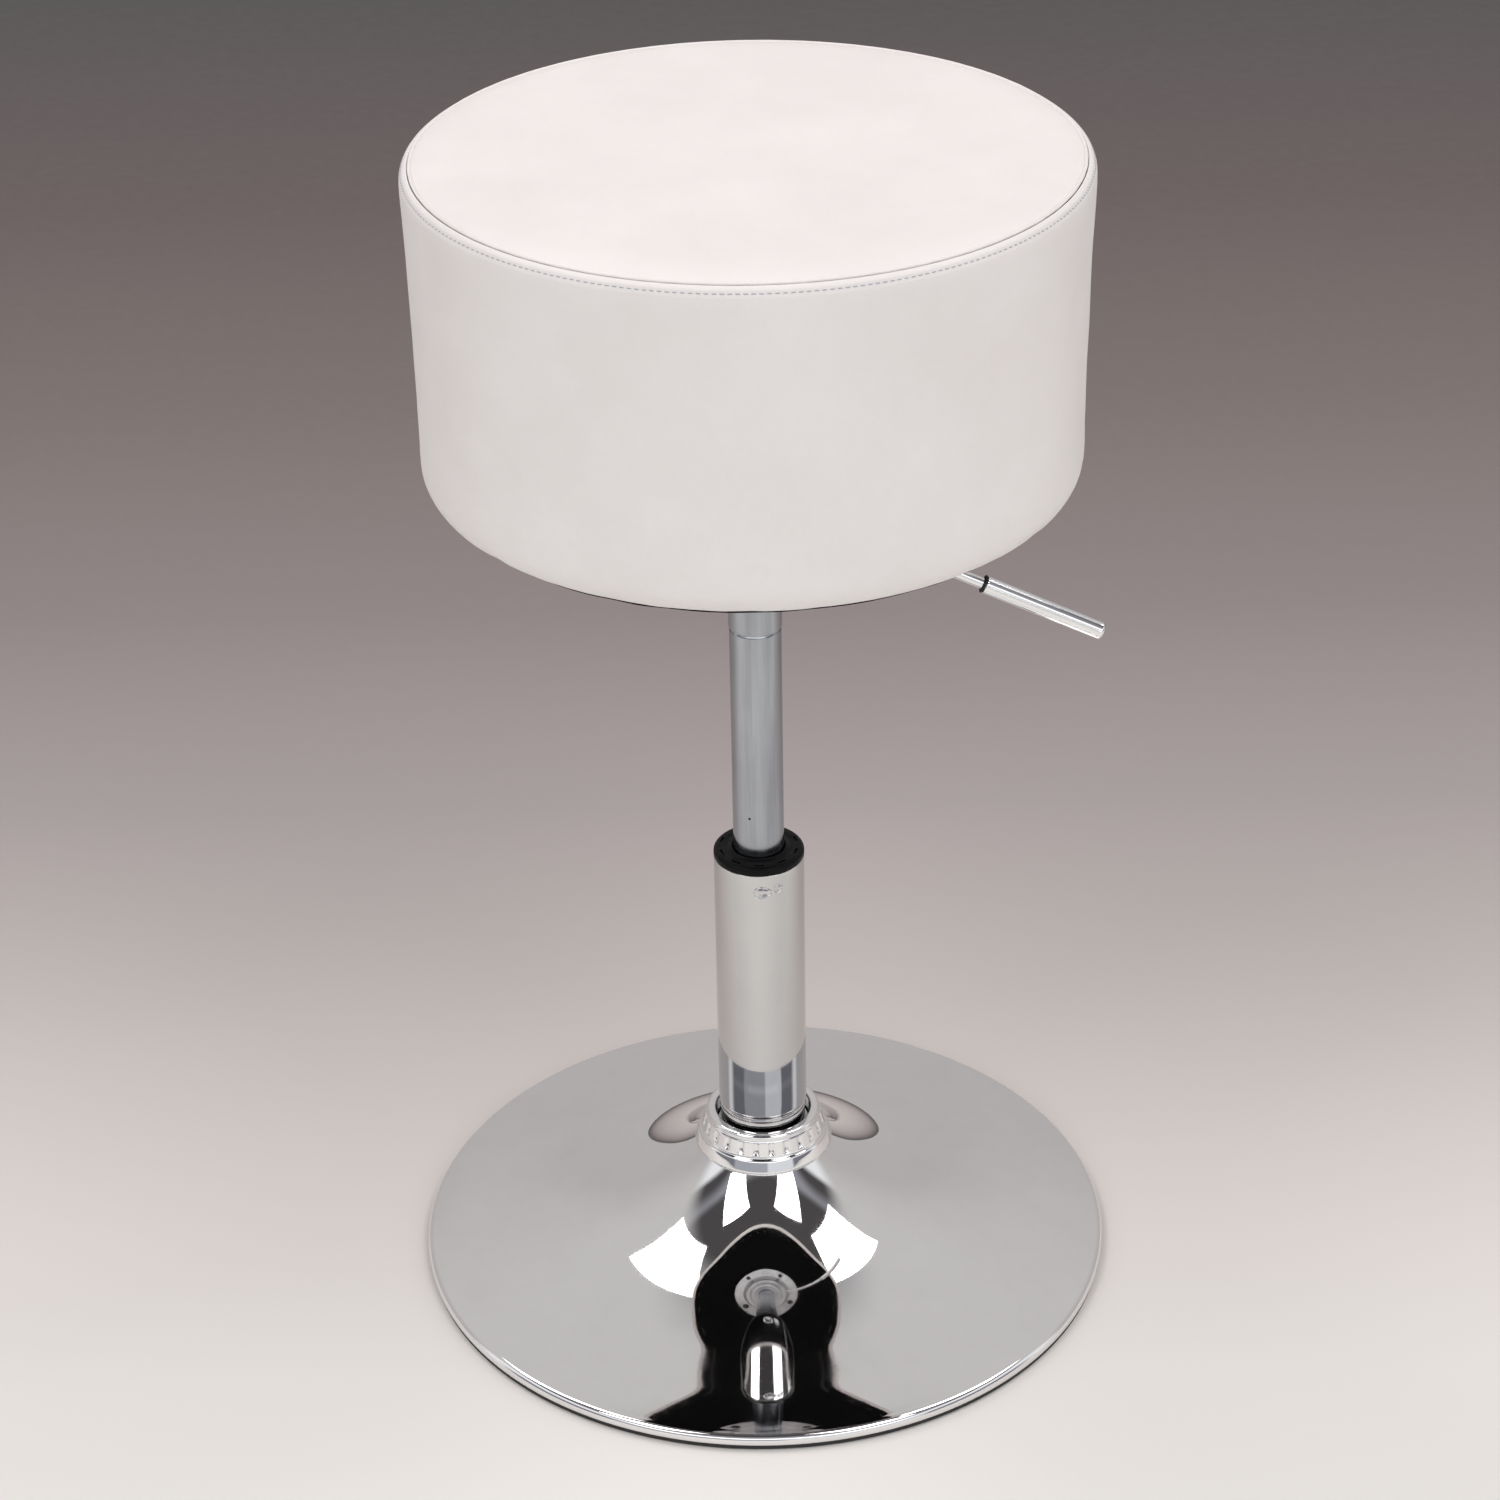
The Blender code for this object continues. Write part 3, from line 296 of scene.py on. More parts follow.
def chrome_finish(name, scratch_stretch, wave_distance=0.00004, shade=1.0):
    """Polished plate: faint smudges, hairline scratches and a slight waviness of the metal under it."""
    made = Finish(name)
    smudge = made.noise(38.0, 5.0, 0.6)
    scratch = made.noise(260.0, 3.0, 0.7, made.stretched(*scratch_stretch))
    rough = made.maths(
        "ADD", made.spread(smudge, 0.42, 0.72, 0.018, 0.050), made.spread(scratch, 0.62, 0.80, 0.0, 0.05)
    )
    made.feed("Roughness", rough)
    # shade below 1 darkens the plate's colour: a shaded copy of the same chrome, painted shade
    clean = (0.865 * shade, 0.862 * shade, 0.865 * shade)
    smudged = (0.83 * shade, 0.826 * shade, 0.83 * shade)
    tint = made.ramp(smudge, [(0.30, clean), (0.70, smudged)])
    made.feed("Base Color", tint)
    made.set(Metallic=1.0)
    wave = made.bump(made.noise(14.0, 1.0, 0.4), wave_distance)
    made.feed("Normal", made.bump(scratch, 0.000004, 0.5, wave))
    return made.material


def satin_tube_finish():
    """Satin steel tube: drawn streaks along it and a cloudy bluish tone."""
    made = Finish("satin_tube")
    streak = made.noise(150.0, 4.0, 0.6, made.stretched(1.0, 1.0, 0.035))
    cloud = made.noise(45.0, 3.0, 0.5, made.stretched(1.0, 1.0, 0.30))
    tone = made.maths("ADD", made.maths("MULTIPLY", streak, 0.6), made.maths("MULTIPLY", cloud, 0.4))
    made.feed("Base Color", made.ramp(tone, [(0.34, (0.27, 0.285, 0.31)), (0.66, (0.46, 0.48, 0.51))]))
    made.feed("Roughness", made.spread(streak, 0.3, 0.7, 0.14, 0.24))
    made.set(Metallic=1.0)
    made.feed("Normal", made.bump(streak, 0.00002, 0.5))
    return made.material


def zinc_finish():
    """Zinc-plated steel: cloudy plate with fine pits."""
    made = Finish("zinc_steel")
    cloud = made.noise(55.0, 6.0, 0.65)
    pits = made.cells(900.0)
    made.feed("Base Color", made.ramp(cloud, [(0.32, (0.50, 0.51, 0.53)), (0.68, (0.70, 0.71, 0.72))]))
    made.feed("Roughness", made.spread(cloud, 0.3, 0.7, 0.30, 0.46))
    made.set(Metallic=1.0)
    made.feed("Normal", made.bump(pits, 0.00002, 0.5))
    return made.material


def coated_finish(name, patches, tones, gloss, grain, relief, **values):
    """A painted or moulded skin: patches of tone and gloss over a fine grain.

    patches and grain are a noise's scale, detail and roughness. tones are the stops of the
    patches' ramp, gloss is where their roughness runs from and to, and relief is the grain's
    depth and strength.
    """
    made = Finish(name)
    patch = made.noise(*patches)
    made.feed("Base Color", made.ramp(patch, tones))
    made.feed("Roughness", made.spread(patch, *gloss))
    made.set(**values)
    made.feed("Normal", made.bump(made.noise(*grain), *relief))
    return made.material


def leatherette_finish():
    """White leatherette: pebbled grain cells with creases between them, pores, and soft sheen."""
    made = Finish("white_leatherette")
    bend = made.noise(190.0, 2.0, 0.5)
    pebble = made.cells(720.0, "SMOOTH_F1")
    crease = made.spread(made.cells(720.0), 0.0, 0.16, 0.0, 1.0)
    pores = made.noise(2400.0, 2.0, 0.6)
    cloud = made.noise(16.0, 4.0, 0.55)
    made.feed("Base Color", made.ramp(cloud, [(0.30, (0.84, 0.805, 0.79)), (0.72, (0.885, 0.855, 0.84))]))
    worn = made.spread(cloud, 0.3, 0.7, 0.40, 0.47)
    made.feed("Roughness", made.maths("ADD", worn, made.spread(crease, 0.0, 1.0, 0.07, 0.0)))
    made.set(Specular_IOR_Level=0.42, Sheen_Weight=0.12, Sheen_Roughness=0.45)
    soft = made.bump(bend, 0.00025, 0.35)
    grain = made.bump(crease, 0.00009, 0.55, soft)
    round_cells = made.bump(pebble, 0.00012, 0.35, grain)
    made.feed("Normal", made.bump(pores, 0.00003, 0.4, round_cells))
    return made.material


def thread_finish():
    """Bonded sewing thread: plies that twist round it."""
    made = Finish("stitch_thread_and_painted_shade")
    ply = made.noise(2300.0, 2.0, 0.5, made.stretched(1.0, 1.0, 2.5))
    # Dark blue-grey plies: partly the thread's own tone, partly painted shade of the needle holes
    made.feed("Base Color", made.ramp(ply, [(0.35, (0.34, 0.36, 0.42)), (0.70, (0.55, 0.57, 0.62))]))
    made.feed("Roughness", made.spread(ply, 0.3, 0.7, 0.45, 0.65))
    made.set(Sheen_Weight=0.25)
    made.feed("Normal", made.bump(ply, 0.00008, 0.7))
    return made.material


def plywood_finish():
    """Birch plywood: flat grain on the faces, and its plies as layers of height."""
    made = Finish("plywood")
    grain = made.noise(60.0, 5.0, 0.6, made.stretched(1.0, 9.0, 1.0), 0.4)
    layers = made.node("TexWave", Vector=made.place, Scale=210.0, Distortion=0.4)
    layers.bands_direction = "Z"
    ply = made.maths("MULTIPLY", layers.outputs["Fac"], 0.4)
    blend = made.maths("ADD", made.spread(grain, 0.2, 0.8, 0.0, 0.6), ply)
    made.feed("Base Color", made.ramp(blend, [(0.2, (0.42, 0.27, 0.15)), (0.8, (0.72, 0.56, 0.37))]))
    made.feed("Roughness", made.spread(grain, 0.3, 0.7, 0.55, 0.75))
    made.feed("Normal", made.bump(grain, 0.0003, 0.5))
    return made.material


def nonwoven_finish():
    """Black spunbond cloth: fibres in all directions with a pattern of bonded dimples."""
    made = Finish("black_nonwoven")
    fibre = made.noise(1500.0, 4.0, 0.7, None, 1.5)
    dimple = made.spread(made.cells(650.0, "F1"), 0.0, 0.35, 0.0, 1.0)
    # Near-zero tones: the cloth's own black, darkened further as painted shade under the seat
    tones = [(0.35, (0.0015, 0.0015, 0.0016)), (0.75, (0.006, 0.006, 0.0065))]
    made.feed("Base Color", made.ramp(fibre, tones))
    made.feed("Roughness", made.spread(fibre, 0.3, 0.7, 0.78, 0.95))
    made.set(Specular_IOR_Level=0.10)
    made.feed("Normal", made.bump(dimple, 0.00012, 0.6, made.bump(fibre, 0.0001, 0.6)))
    return made.material


def floor_finish():
    """A floor sheet whose colour falls off with distance behind the stool as painted shade, and is lifted
    near the base as painted light.
    """
    made = Finish("studio_floor")
    speckle = made.noise(60.0, 4.0, 0.6)
    split = made.node("SeparateXYZ", Vector=made.place)
    depth = made.spread(split.outputs["Y"], FLOOR_NEAR, FLOOR_FAR, 0.0, 1.0)
    made.feed("Base Color", made.ramp(depth, FLOOR_PAINTED_SHADE_TONES))
    made.feed("Roughness", made.spread(speckle, 0.3, 0.7, 0.55, 0.65))
    made.set(Specular_IOR_Level=0.25)
    return made.material


FINISHES = {
    "chrome": chrome_finish("chrome_turned", (1.0, 1.0, 1.0)),
    "satin_steel": satin_tube_finish(),
    "zinc_steel": zinc_finish(),
    # Black paint over a sand-cast or stamped skin
    "black_iron": coated_finish(
        "black_iron",
        (60.0, 6.0, 0.7),
        [(0.35, (0.030, 0.031, 0.033)), (0.75, (0.075, 0.072, 0.070))],
        (0.3, 0.7, 0.48, 0.66),
        (420.0, 5.0, 0.6),
        (0.00018, 0.7),
    ),
    # Moulded acetal with a spark-eroded texture, polished a little where it rubs
    "black_plastic": coated_finish(
        "black_plastic",
        (160.0, 4.0, 0.6),
        [(0.3, (0.003, 0.003, 0.003)), (0.8, (0.009, 0.009, 0.010))],
        (0.3, 0.75, 0.42, 0.30),
        (2600.0, 2.0, 0.5),
        (0.00003, 0.5),
        Specular_IOR_Level=0.10,
    ),
    # Moulded rubber with a grey bloom
    "black_rubber": coated_finish(
        "black_rubber",
        (90.0, 5.0, 0.65),
        [(0.35, (0.014, 0.014, 0.014)), (0.8, (0.045, 0.044, 0.043))],
        (0.3, 0.7, 0.62, 0.84),
        (1500.0, 3.0, 0.6),
        (0.00008, 0.6),
    ),
    "white_leatherette": leatherette_finish(),
    "plywood": plywood_finish(),
    "black_nonwoven": nonwoven_finish(),
}
ROD_CHROME = chrome_finish("chrome_drawn", (1.0, 1.0, 0.02), 0.00001)
# The stand tube: the same chrome with its colour darkened to 0.72 as painted shade
SHADED_TUBE_CHROME = chrome_finish("chrome_tube_painted_shade", (1.0, 1.0, 0.02), 0.00001, 0.72)
THREAD = thread_finish()


# ---------------------------------------------------------------- mesh tools
def added(name, data):
    """A new object in the scene."""
    made = bpy.data.objects.new(name, data)
    bpy.context.scene.collection.objects.link(made)
    return made


def piece(name, mesh, slot, body, replaced=(), finish=None):
    """A visible piece riding on its body, in its slot's finish or in one of its own."""
    mesh.materials.clear()
    mesh.materials.append(finish or FINISHES[slot])
    made = added(name, mesh)
    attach(made, body)
    if replaced:
        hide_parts(*replaced)
    return made


def raw_mesh(name, verts, faces, weld=False):
    """A mesh with its normals outwards, and its points at one place welded if asked."""
    mesh = bpy.data.meshes.new(name)
    mesh.from_pydata([tuple(v) for v in verts], [], faces)
    bm = bmesh.new()
    bm.from_mesh(mesh)
    if weld:
        bmesh.ops.remove_doubles(bm, verts=bm.verts, dist=1e-7)
    bmesh.ops.recalc_face_normals(bm, faces=bm.faces)
    bm.to_mesh(mesh)
    bm.free()
    return mesh


def mesh_from(name, verts, faces, sharp=35.0):
    mesh = raw_mesh(name, verts, faces, weld=True)
    mesh.shade_smooth()
    mesh.set_sharp_from_angle(angle=math.radians(sharp))
    return mesh


def eased(loop, steps=4):
    """Rounds the corners of a closed outline whose points are (radius, height, fillet)."""
    points = []
    count = len(loop)
    for index, corner in enumerate(loop):
        here = Vector(corner[:2])
        fillet = corner[2] if len(corner) > 2 else 0.0
        if fillet == 0.0:
            points.append(tuple(here))
            continue
        before = Vector(loop[index - 1][:2])
        after = Vector(loop[(index + 1) % count][:2])
        back = min(fillet, 0.45 * (before - here).length)
        ahead = min(fillet, 0.45 * (after - here).length)
        start = here + (before - here).normalized() * back
        end = here + (after - here).normalized() * ahead
        for step in range(steps + 1):
            t = step / steps
            point = start * (1 - t) ** 2 + here * 2 * t * (1 - t) + end * t**2
            points.append(tuple(point))
    return points


def refined(loop, pitch, low, high):
    """Adds points to an outline's long runs between two heights, so they can be shaped later."""
    points = []
    for first, second in zip(loop, loop[1:] + loop[:1]):
        points.append(first)
        length = math.dist(first, second)
        inside = low <= min(first[1], second[1]) and max(first[1], second[1]) <= high
        if inside and length > pitch:
            parts = math.ceil(length / pitch)
            for part in range(1, parts):
                t = part / parts
                points.append((first[0] + (second[0] - first[0]) * t, first[1] + (second[1] - first[1]) * t))
    return points


def with_rows(outline, radius, heights):
    """Adds points at the given heights to an outline's long run downwards at a radius."""
    points = []
    for first, second in zip(outline, outline[1:] + outline[:1]):
        points.append(first)
        if first[1] - second[1] > 0.02 and first[0] > radius - 0.0001:
            points += [(radius, height) for height in heights]
    return points


def turned_arrays(loop, sides, warp=None):
    """Turns a closed outline about Z: vertex positions and faces. warp(r, z, angle) returns new radii."""
    angle = np.arange(sides) * 2.0 * math.pi / sides
    radius, turn = np.meshgrid([p[0] for p in loop], angle, indexing="ij")
    height, _ = np.meshgrid([p[1] for p in loop], angle, indexing="ij")
    if warp:
        radius = warp(radius, height, turn)
    verts = np.stack([radius * np.cos(turn), radius * np.sin(turn), height], axis=-1).reshape(-1, 3)
    faces = []
    rows = len(loop)
    for row in range(rows):
        following = (row + 1) % rows
        if loop[row][0] == 0.0 and loop[following][0] == 0.0:
            continue
        for side in range(sides):
            beside = (side + 1) % sides
            here, there = row * sides, following * sides
            faces.append((here + side, here + beside, there + beside, there + side))
    return verts, faces


def turned(name, loop, sides, warp=None, sharp=35.0):
    return mesh_from(name, *turned_arrays(loop, sides, warp), sharp)


def along_lever(mesh):
    """Moves a mesh turned about Z to the lever's axis, with its heights as distances from the column."""
    lay_down = Matrix.Rotation(math.radians(90.0 + LEVER_DROOP), 4, "Y")
    swing = Matrix.Rotation(math.radians(LEVER_ANGLE), 4, "Z")
    mesh.transform(Matrix.Translation((0.0, 0.0, LEVER_AXIS_HEIGHT)) @ swing @ lay_down)
    return mesh


def cut_out(mesh, cutters):
    """The mesh less the cutters' volumes."""
    body = added("cut_body", mesh)
    helpers = []
    for cutter in cutters:
        helper = added("cut_helper", cutter)
        modifier = body.modifiers.new("cut", "BOOLEAN")
        modifier.operation = "DIFFERENCE"
        modifier.solver = "EXACT"
        modifier.object = helper
        helpers.append(helper)
    graph = bpy.context.evaluated_depsgraph_get()
    result = bpy.data.meshes.new_from_object(body.evaluated_get(graph))
    for thing in (body, *helpers):
        bpy.data.objects.remove(thing)
    result.set_sharp_from_angle(angle=math.radians(35.0))
    return result


def block(size, centre, turn=0.0, bevel=0.0, segments=2):
    """A box with rounded edges, turned about Z and moved to its centre."""
    bm = bmesh.new()
    bmesh.ops.create_cube(bm, size=1.0)
    bmesh.ops.scale(bm, verts=bm.verts, vec=size)
    if bevel:
        bmesh.ops.bevel(bm, geom=bm.edges[:], offset=bevel, segments=segments, affect="EDGES", profile=0.5)
    bmesh.ops.rotate(bm, verts=bm.verts, matrix=Matrix.Rotation(turn, 3, "Z"))
    bmesh.ops.translate(bm, verts=bm.verts, vec=centre)
    mesh = bpy.data.meshes.new("block")
    bm.to_mesh(mesh)
    bm.free()
    return mesh


def joined(name, meshes):
    """One mesh out of several."""
    bm = bmesh.new()
    for mesh in meshes:
        bm.from_mesh(mesh)
        bpy.data.meshes.remove(mesh)
    together = bpy.data.meshes.new(name)
    bm.to_mesh(together)
    bm.free()
    together.shade_smooth()
    together.set_sharp_from_angle(angle=math.radians(35.0))
    return together


def arc(centre, radius, start, end, steps):
    """Points on an arc of an outline; angles in degrees from the outward radius."""
    points = []
    for step in range(steps + 1):
        angle = math.radians(start + (end - start) * step / steps)
        points.append((centre[0] + radius * math.cos(angle), centre[1] + radius * math.sin(angle)))
    return points


def smooth_step(value, low, high):
    t = np.clip((value - low) / (high - low), 0.0, 1.0)
    return t * t * (3.0 - 2.0 * t)


def wrapped(angle):
    """Angles brought between -pi and pi."""
    return (angle + math.pi) % (2.0 * math.pi) - math.pi


# ---------------------------------------------------------------- trumpet base
def shell_curve(pitch=0.0010, blur=0.0030):
    """The spun curve from neck to rim, with its changes of slope blurred as spinning leaves them."""
    radii, heights = [], []
    for (r0, z0, s0), (r1, z1, s1) in zip(SHELL_STATIONS, SHELL_STATIONS[1:]):
        t = np.linspace(0.0, 1.0, 120, endpoint=False)
        span = r1 - r0
        rise0 = -math.tan(math.radians(s0)) * span
        rise1 = -math.tan(math.radians(s1)) * span
        radii.append(r0 + span * t)
        heights.append(
            (2 * t**3 - 3 * t**2 + 1) * z0
            + (t**3 - 2 * t**2 + t) * rise0
            + (3 * t**2 - 2 * t**3) * z1
            + (t**3 - t**2) * rise1
        )
    radii = np.append(np.concatenate(radii), SHELL_STATIONS[-1][0])
    heights = np.append(np.concatenate(heights), SHELL_STATIONS[-1][1])
    length = np.concatenate([[0.0], np.cumsum(np.hypot(np.diff(radii), np.diff(heights)))])
    even = np.linspace(0.0, length[-1], round(length[-1] / 0.0005) + 1)
    slope = np.interp(even, length, np.arctan2(np.gradient(heights), np.gradient(radii)))
    reach = round(3 * blur / 0.0005)
    weights = np.exp(-0.5 * (np.arange(-reach, reach + 1) * 0.0005 / blur) ** 2)
    slope = np.convolve(np.pad(slope, reach, mode="edge"), weights / weights.sum(), mode="valid")
    step = even[1] - even[0]
    middle = (slope[1:] + slope[:-1]) / 2
    r = radii[0] + np.concatenate([[0.0], np.cumsum(np.cos(middle) * step)])
    z = heights[0] + np.concatenate([[0.0], np.cumsum(np.sin(middle) * step)])
    share = even / even[-1]
    r += (radii[-1] - r[-1]) * share
    z += (heights[-1] - z[-1]) * share
    every = max(round(pitch / step), 1)
    return list(zip(r[::every].tolist(), z[::every].tolist()))


def offset_inside(curve, distance):
    moved = []
    for index, (radius, height) in enumerate(curve):
        before = curve[max(index - 1, 0)]
        after = curve[min(index + 1, len(curve) - 1)]
        along = (after[0] - before[0], after[1] - before[1])
        length = math.hypot(*along)
        moved.append((radius + distance * along[1] / length, height - distance * along[0] / length))
    return moved


def build_base():
    outer = shell_curve()
    roll = BASE_RADIUS - SHELL_RIM_CENTRE[0]
    outer = outer[:-1] + arc(SHELL_RIM_CENTRE, roll, 77.0, 0.0, 10)
    outer.append((BASE_RADIUS, SHELL_EDGE_HEIGHT + 0.0004))
    outer.append((BASE_RADIUS - 0.0002, SHELL_EDGE_HEIGHT + 0.0001))
    inner = offset_inside(outer[:-2], SHELL_THICKNESS)[::3]
    inner.append((BASE_RADIUS - SHELL_THICKNESS, SHELL_EDGE_HEIGHT + 0.0004))
    inner.append((BASE_RADIUS - SHELL_THICKNESS + 0.0002, SHELL_EDGE_HEIGHT + 0.0001))
    mesh = turned("base_dome", outer + inner[::-1], WIDE_SIDES, sharp=50.0)
    piece("base_dome", mesh, "chrome", "base", ["base_shell"])

    ring = [
        (FLOOR_RING_OUTER, 0.0030, 0.0003),
        (FLOOR_RING_OUTER, 0.0004, 0.0005),
        (FLOOR_RING_OUTER - 0.0012, 0.0, 0.0004),
        (FLOOR_RING_OUTER - 0.0050, 0.0, 0.0004),
        (FLOOR_RING_OUTER - 0.0055, 0.0006, 0.0004),
        (FLOOR_RING_OUTER - 0.0085, 0.0006, 0.0004),
        (FLOOR_RING_OUTER - 0.0090, 0.0, 0.0004),
        (FLOOR_RING_INNER, 0.0, 0.0006),
        (FLOOR_RING_INNER, 0.0065, 0.0008),
        (FLOOR_RING_INNER + 0.0040, 0.0065, 0.0008),
        (FLOOR_RING_INNER + 0.0040, 0.0030, 0.0005),
    ]
    mesh = turned("base_floor_ring", eased(ring, 3), TUBE_SIDES)
    piece("base_floor_ring", mesh, "black_rubber", "base", ["floor_ring"])


def build_collar():
    """The ring nut: a rounded lip, a ribbed cone and a flange over the shell's neck."""
    loop = [
        (0.0309, 0.0878, 0.0006),
        (0.0322, 0.0868, 0.0008),
        (0.0324, 0.0848, 0.0006),
        (0.0329, 0.0840, 0.0004),
        (0.0350, 0.0760, 0.0004),
        (0.0354, 0.0748, 0.0006),
        (0.0368, 0.0740, 0.0008),
        (0.0376, 0.0722, 0.0010),
        (0.0393, 0.0676, 0.0009),
        (0.0393, 0.0664, 0.0004),
        (0.0378, 0.0672, 0.0004),
        (0.0322, 0.0734, 0.0004),
        (0.0296, 0.0748, 0.0004),
        (0.0296, 0.0710, 0.0004),
        (COLLAR_BORE, 0.0710, 0.0004),
        (COLLAR_BORE, 0.0868, 0.0006),
        (0.0276, 0.0878, 0.0004),
    ]
    low, high = COLLAR_GROOVE_SPAN
    outline = refined(eased(loop), 0.0004, low - 0.0006, high + 0.0006)

    def warp(radius, height, angle):
        share = (angle * COLLAR_RIB_COUNT / (2.0 * math.pi)) % 1.0
        from_groove = np.abs(share - 0.5) * 2.0  # 0 in the middle of a groove, 1 on a rib's crown
        across = 1.0 - smooth_step(from_groove, 0.20, 0.44)
        along = smooth_step(height, low, low + 0.0011) * (1.0 - smooth_step(height, high - 0.0011, high))
        deeper = 1.0 + 0.5 * (1.0 - smooth_step(height, low + 0.0008, low + 0.0042))
        outside = radius > 0.0322
        return radius - COLLAR_RIB_DEPTH * across * along * deeper * outside

    mesh = turned("column_ring_nut", outline, COLLAR_RIB_COUNT * 16, warp, 40.0)
    piece("column_ring_nut", mesh, "chrome", "base", ["collar_ring"])


def build_stand_tube():
    outer = [
        (STAND_RADIUS - 0.0008, STAND_TOP, 0.0002),
        (STAND_RADIUS, STAND_TOP, 0.0005),
        (STAND_RADIUS, 0.0962, 0.0007),
        (STAND_END_RADIUS + 0.0002, 0.0948, 0.0007),
        (STAND_END_RADIUS, 0.0940, 0.0003),
        (STAND_END_RADIUS + 0.0006, 0.0928, 0.0009),
        (STAND_END_RADIUS, 0.0913, 0.0004),
        (STAND_END_RADIUS + 0.0006, 0.0896, 0.0009),
        (STAND_END_RADIUS, 0.0880, 0.0006),
        (STAND_END_RADIUS, STAND_BOTTOM, 0.0004),
        (STAND_END_BORE, STAND_BOTTOM, 0.0004),
        (STAND_END_BORE, 0.0950, 0.0006),
        (STAND_BORE, 0.0970, 0.0006),
        (STAND_BORE, STAND_TOP, 0.0003),
    ]
    rows = [*np.arange(0.2520, 0.2415, -0.0002), *np.arange(0.2360, 0.1000, -0.0060)]
    outline = with_rows(eased(outer), STAND_RADIUS, rows)

    def warp(radius, height, angle):
        outside = np.isclose(radius, STAND_RADIUS, atol=1e-5)
        for degrees, centre, half_width, half_height, depth in CRIMPS:
            across = wrapped(angle - math.radians(degrees)) * STAND_RADIUS / half_width
            up = (height - centre) / half_height
            narrowing = 1.0 + 0.45 * np.clip(across, 0.0, 1.4)  # a tear drop, pointing right
            far = np.sqrt(across**2 + (up * narrowing) ** 2)
            dish = 1.0 - smooth_step(far, 0.15, 1.0)
            groove = np.exp(-(((far - 1.0) * half_height / CRIMP_GROOVE_WIDTH) ** 2))
            radius = radius - (depth * dish + CRIMP_GROOVE_DEPTH * groove) * outside
        return radius

    mesh = turned("column_stand_tube", outline, STAND_SIDES, warp)
    piece("column_stand_tube", mesh, "chrome", "base", ["stand_tube"], SHADED_TUBE_CHROME)


def build_guide_bush():
    bore = TUBE_RADIUS + 0.00035
    land = STAND_BORE - FIT_GAP
    waist = bore + 0.0025
    seat = STAND_TOP + FIT_GAP
    loop = [
        (bore + 0.0005, BUSH_TOP + 0.0006, 0.0002),
        (bore + 0.0016, BUSH_TOP + 0.0006, 0.0004),
        (bore + 0.0026, BUSH_TOP - 0.0002, 0.0005),
        (0.0195, BUSH_TOP - 0.0002, 0.0003),
        (0.0198, BUSH_TOP + 0.0001, 0.0003),
        (STAND_RADIUS - 0.0014, BUSH_TOP, 0.0010),
        (STAND_RADIUS, BUSH_TOP - 0.0016, 0.0008),
        (STAND_RADIUS, seat, 0.0003),
        (land, seat),
        (land, seat - 0.0060, 0.0004),
        (waist, seat - 0.0080, 0.0004),
        (waist, BUSH_BOTTOM + 0.0080, 0.0004),
        (land, BUSH_BOTTOM + 0.0060, 0.0004),
        (land, BUSH_BOTTOM, 0.0004),
        (bore, BUSH_BOTTOM, 0.0004),
        (bore, BUSH_TOP, 0.0004),
    ]
    mesh = turned("column_guide_bush", eased(loop), TUBE_SIDES)
    cutters = []
    for index in range(BUSH_SLOT_COUNT):
        angle = math.radians(18.0) + 2.0 * math.pi * index / BUSH_SLOT_COUNT
        x, y = BUSH_SLOT_RADIUS * math.cos(angle), BUSH_SLOT_RADIUS * math.sin(angle)
        centre = (x, y, BUSH_TOP + 0.0004)
        cutters.append(block((0.0012, 0.0058, 0.0030), centre, angle, 0.00035))
    mesh = cut_out(mesh, [joined("slots", cutters)])
    piece("column_guide_bush", mesh, "black_plastic", "base", ["guide_bush"])


# ---------------------------------------------------------------- gas spring and seat plate
def build_pressure_tube():
    low_cone, high_cone = CONE_RADII
    loop = [
        (high_cone, TUBE_TOP, 0.0004),
        (low_cone, TUBE_SHOULDER + 0.0012, 0.0004),
        (TUBE_RADIUS, TUBE_SHOULDER, 0.0006),
        (TUBE_RADIUS, 0.3100),
        (TUBE_RADIUS, 0.2700),
        (TUBE_RADIUS, TUBE_BOTTOM, 0.0010),
        (0.0075, TUBE_BOTTOM, 0.0005),
        (0.0075, TUBE_BOTTOM + 0.0012, 0.0003),
        (TUBE_RADIUS - TUBE_WALL, TUBE_BOTTOM + 0.0012, 0.0003),
        (TUBE_RADIUS - TUBE_WALL, TUBE_SHOULDER - 0.0020, 0.0005),
        (low_cone - 0.0013, TUBE_SHOULDER, 0.0003),
        (high_cone - 0.0013, TUBE_TOP - 0.0015, 0.0003),
        (0.0060, TUBE_TOP - 0.0015, 0.0003),
        (0.0060, TUBE_TOP, 0.0003),
    ]
    mesh = turned("spring_pressure_tube", eased(loop), SMALL_SIDES * 2)
    degrees, height, radius = PINHOLE
    drill = turned("drill", [(0.0, 0.004), (radius, 0.004), (radius, -0.004), (0.0, -0.004)], 24)
    angle = math.radians(degrees)
    turn = Matrix.Rotation(angle, 4, "Z") @ Matrix.Rotation(math.radians(90.0), 4, "Y")
    place = (TUBE_RADIUS * math.cos(angle), TUBE_RADIUS * math.sin(angle), height)
    drill.transform(Matrix.Translation(place) @ turn)
    mesh = cut_out(mesh, [drill])
    piece("spring_pressure_tube", mesh, "satin_steel", "lift", ["pressure_tube"])

    top = DISH_FLOOR_TOP - 0.0005
    taper = (low_cone - high_cone) / (TUBE_TOP - TUBE_SHOULDER)
    boss = [
        (SOCKET_RADIUS, top, 0.0002),
        (SOCKET_RADIUS, SOCKET_BOTTOM, 0.0004),
        (low_cone + FIT_GAP, SOCKET_BOTTOM, 0.0002),
        (high_cone + taper * (TUBE_TOP - top) + FIT_GAP, top, 0.0002),
    ]
    mesh = turned("plate_taper_socket", eased(boss), SMALL_SIDES * 2)
    piece("plate_taper_socket", mesh, "satin_steel", "lift", ["plate_socket"])


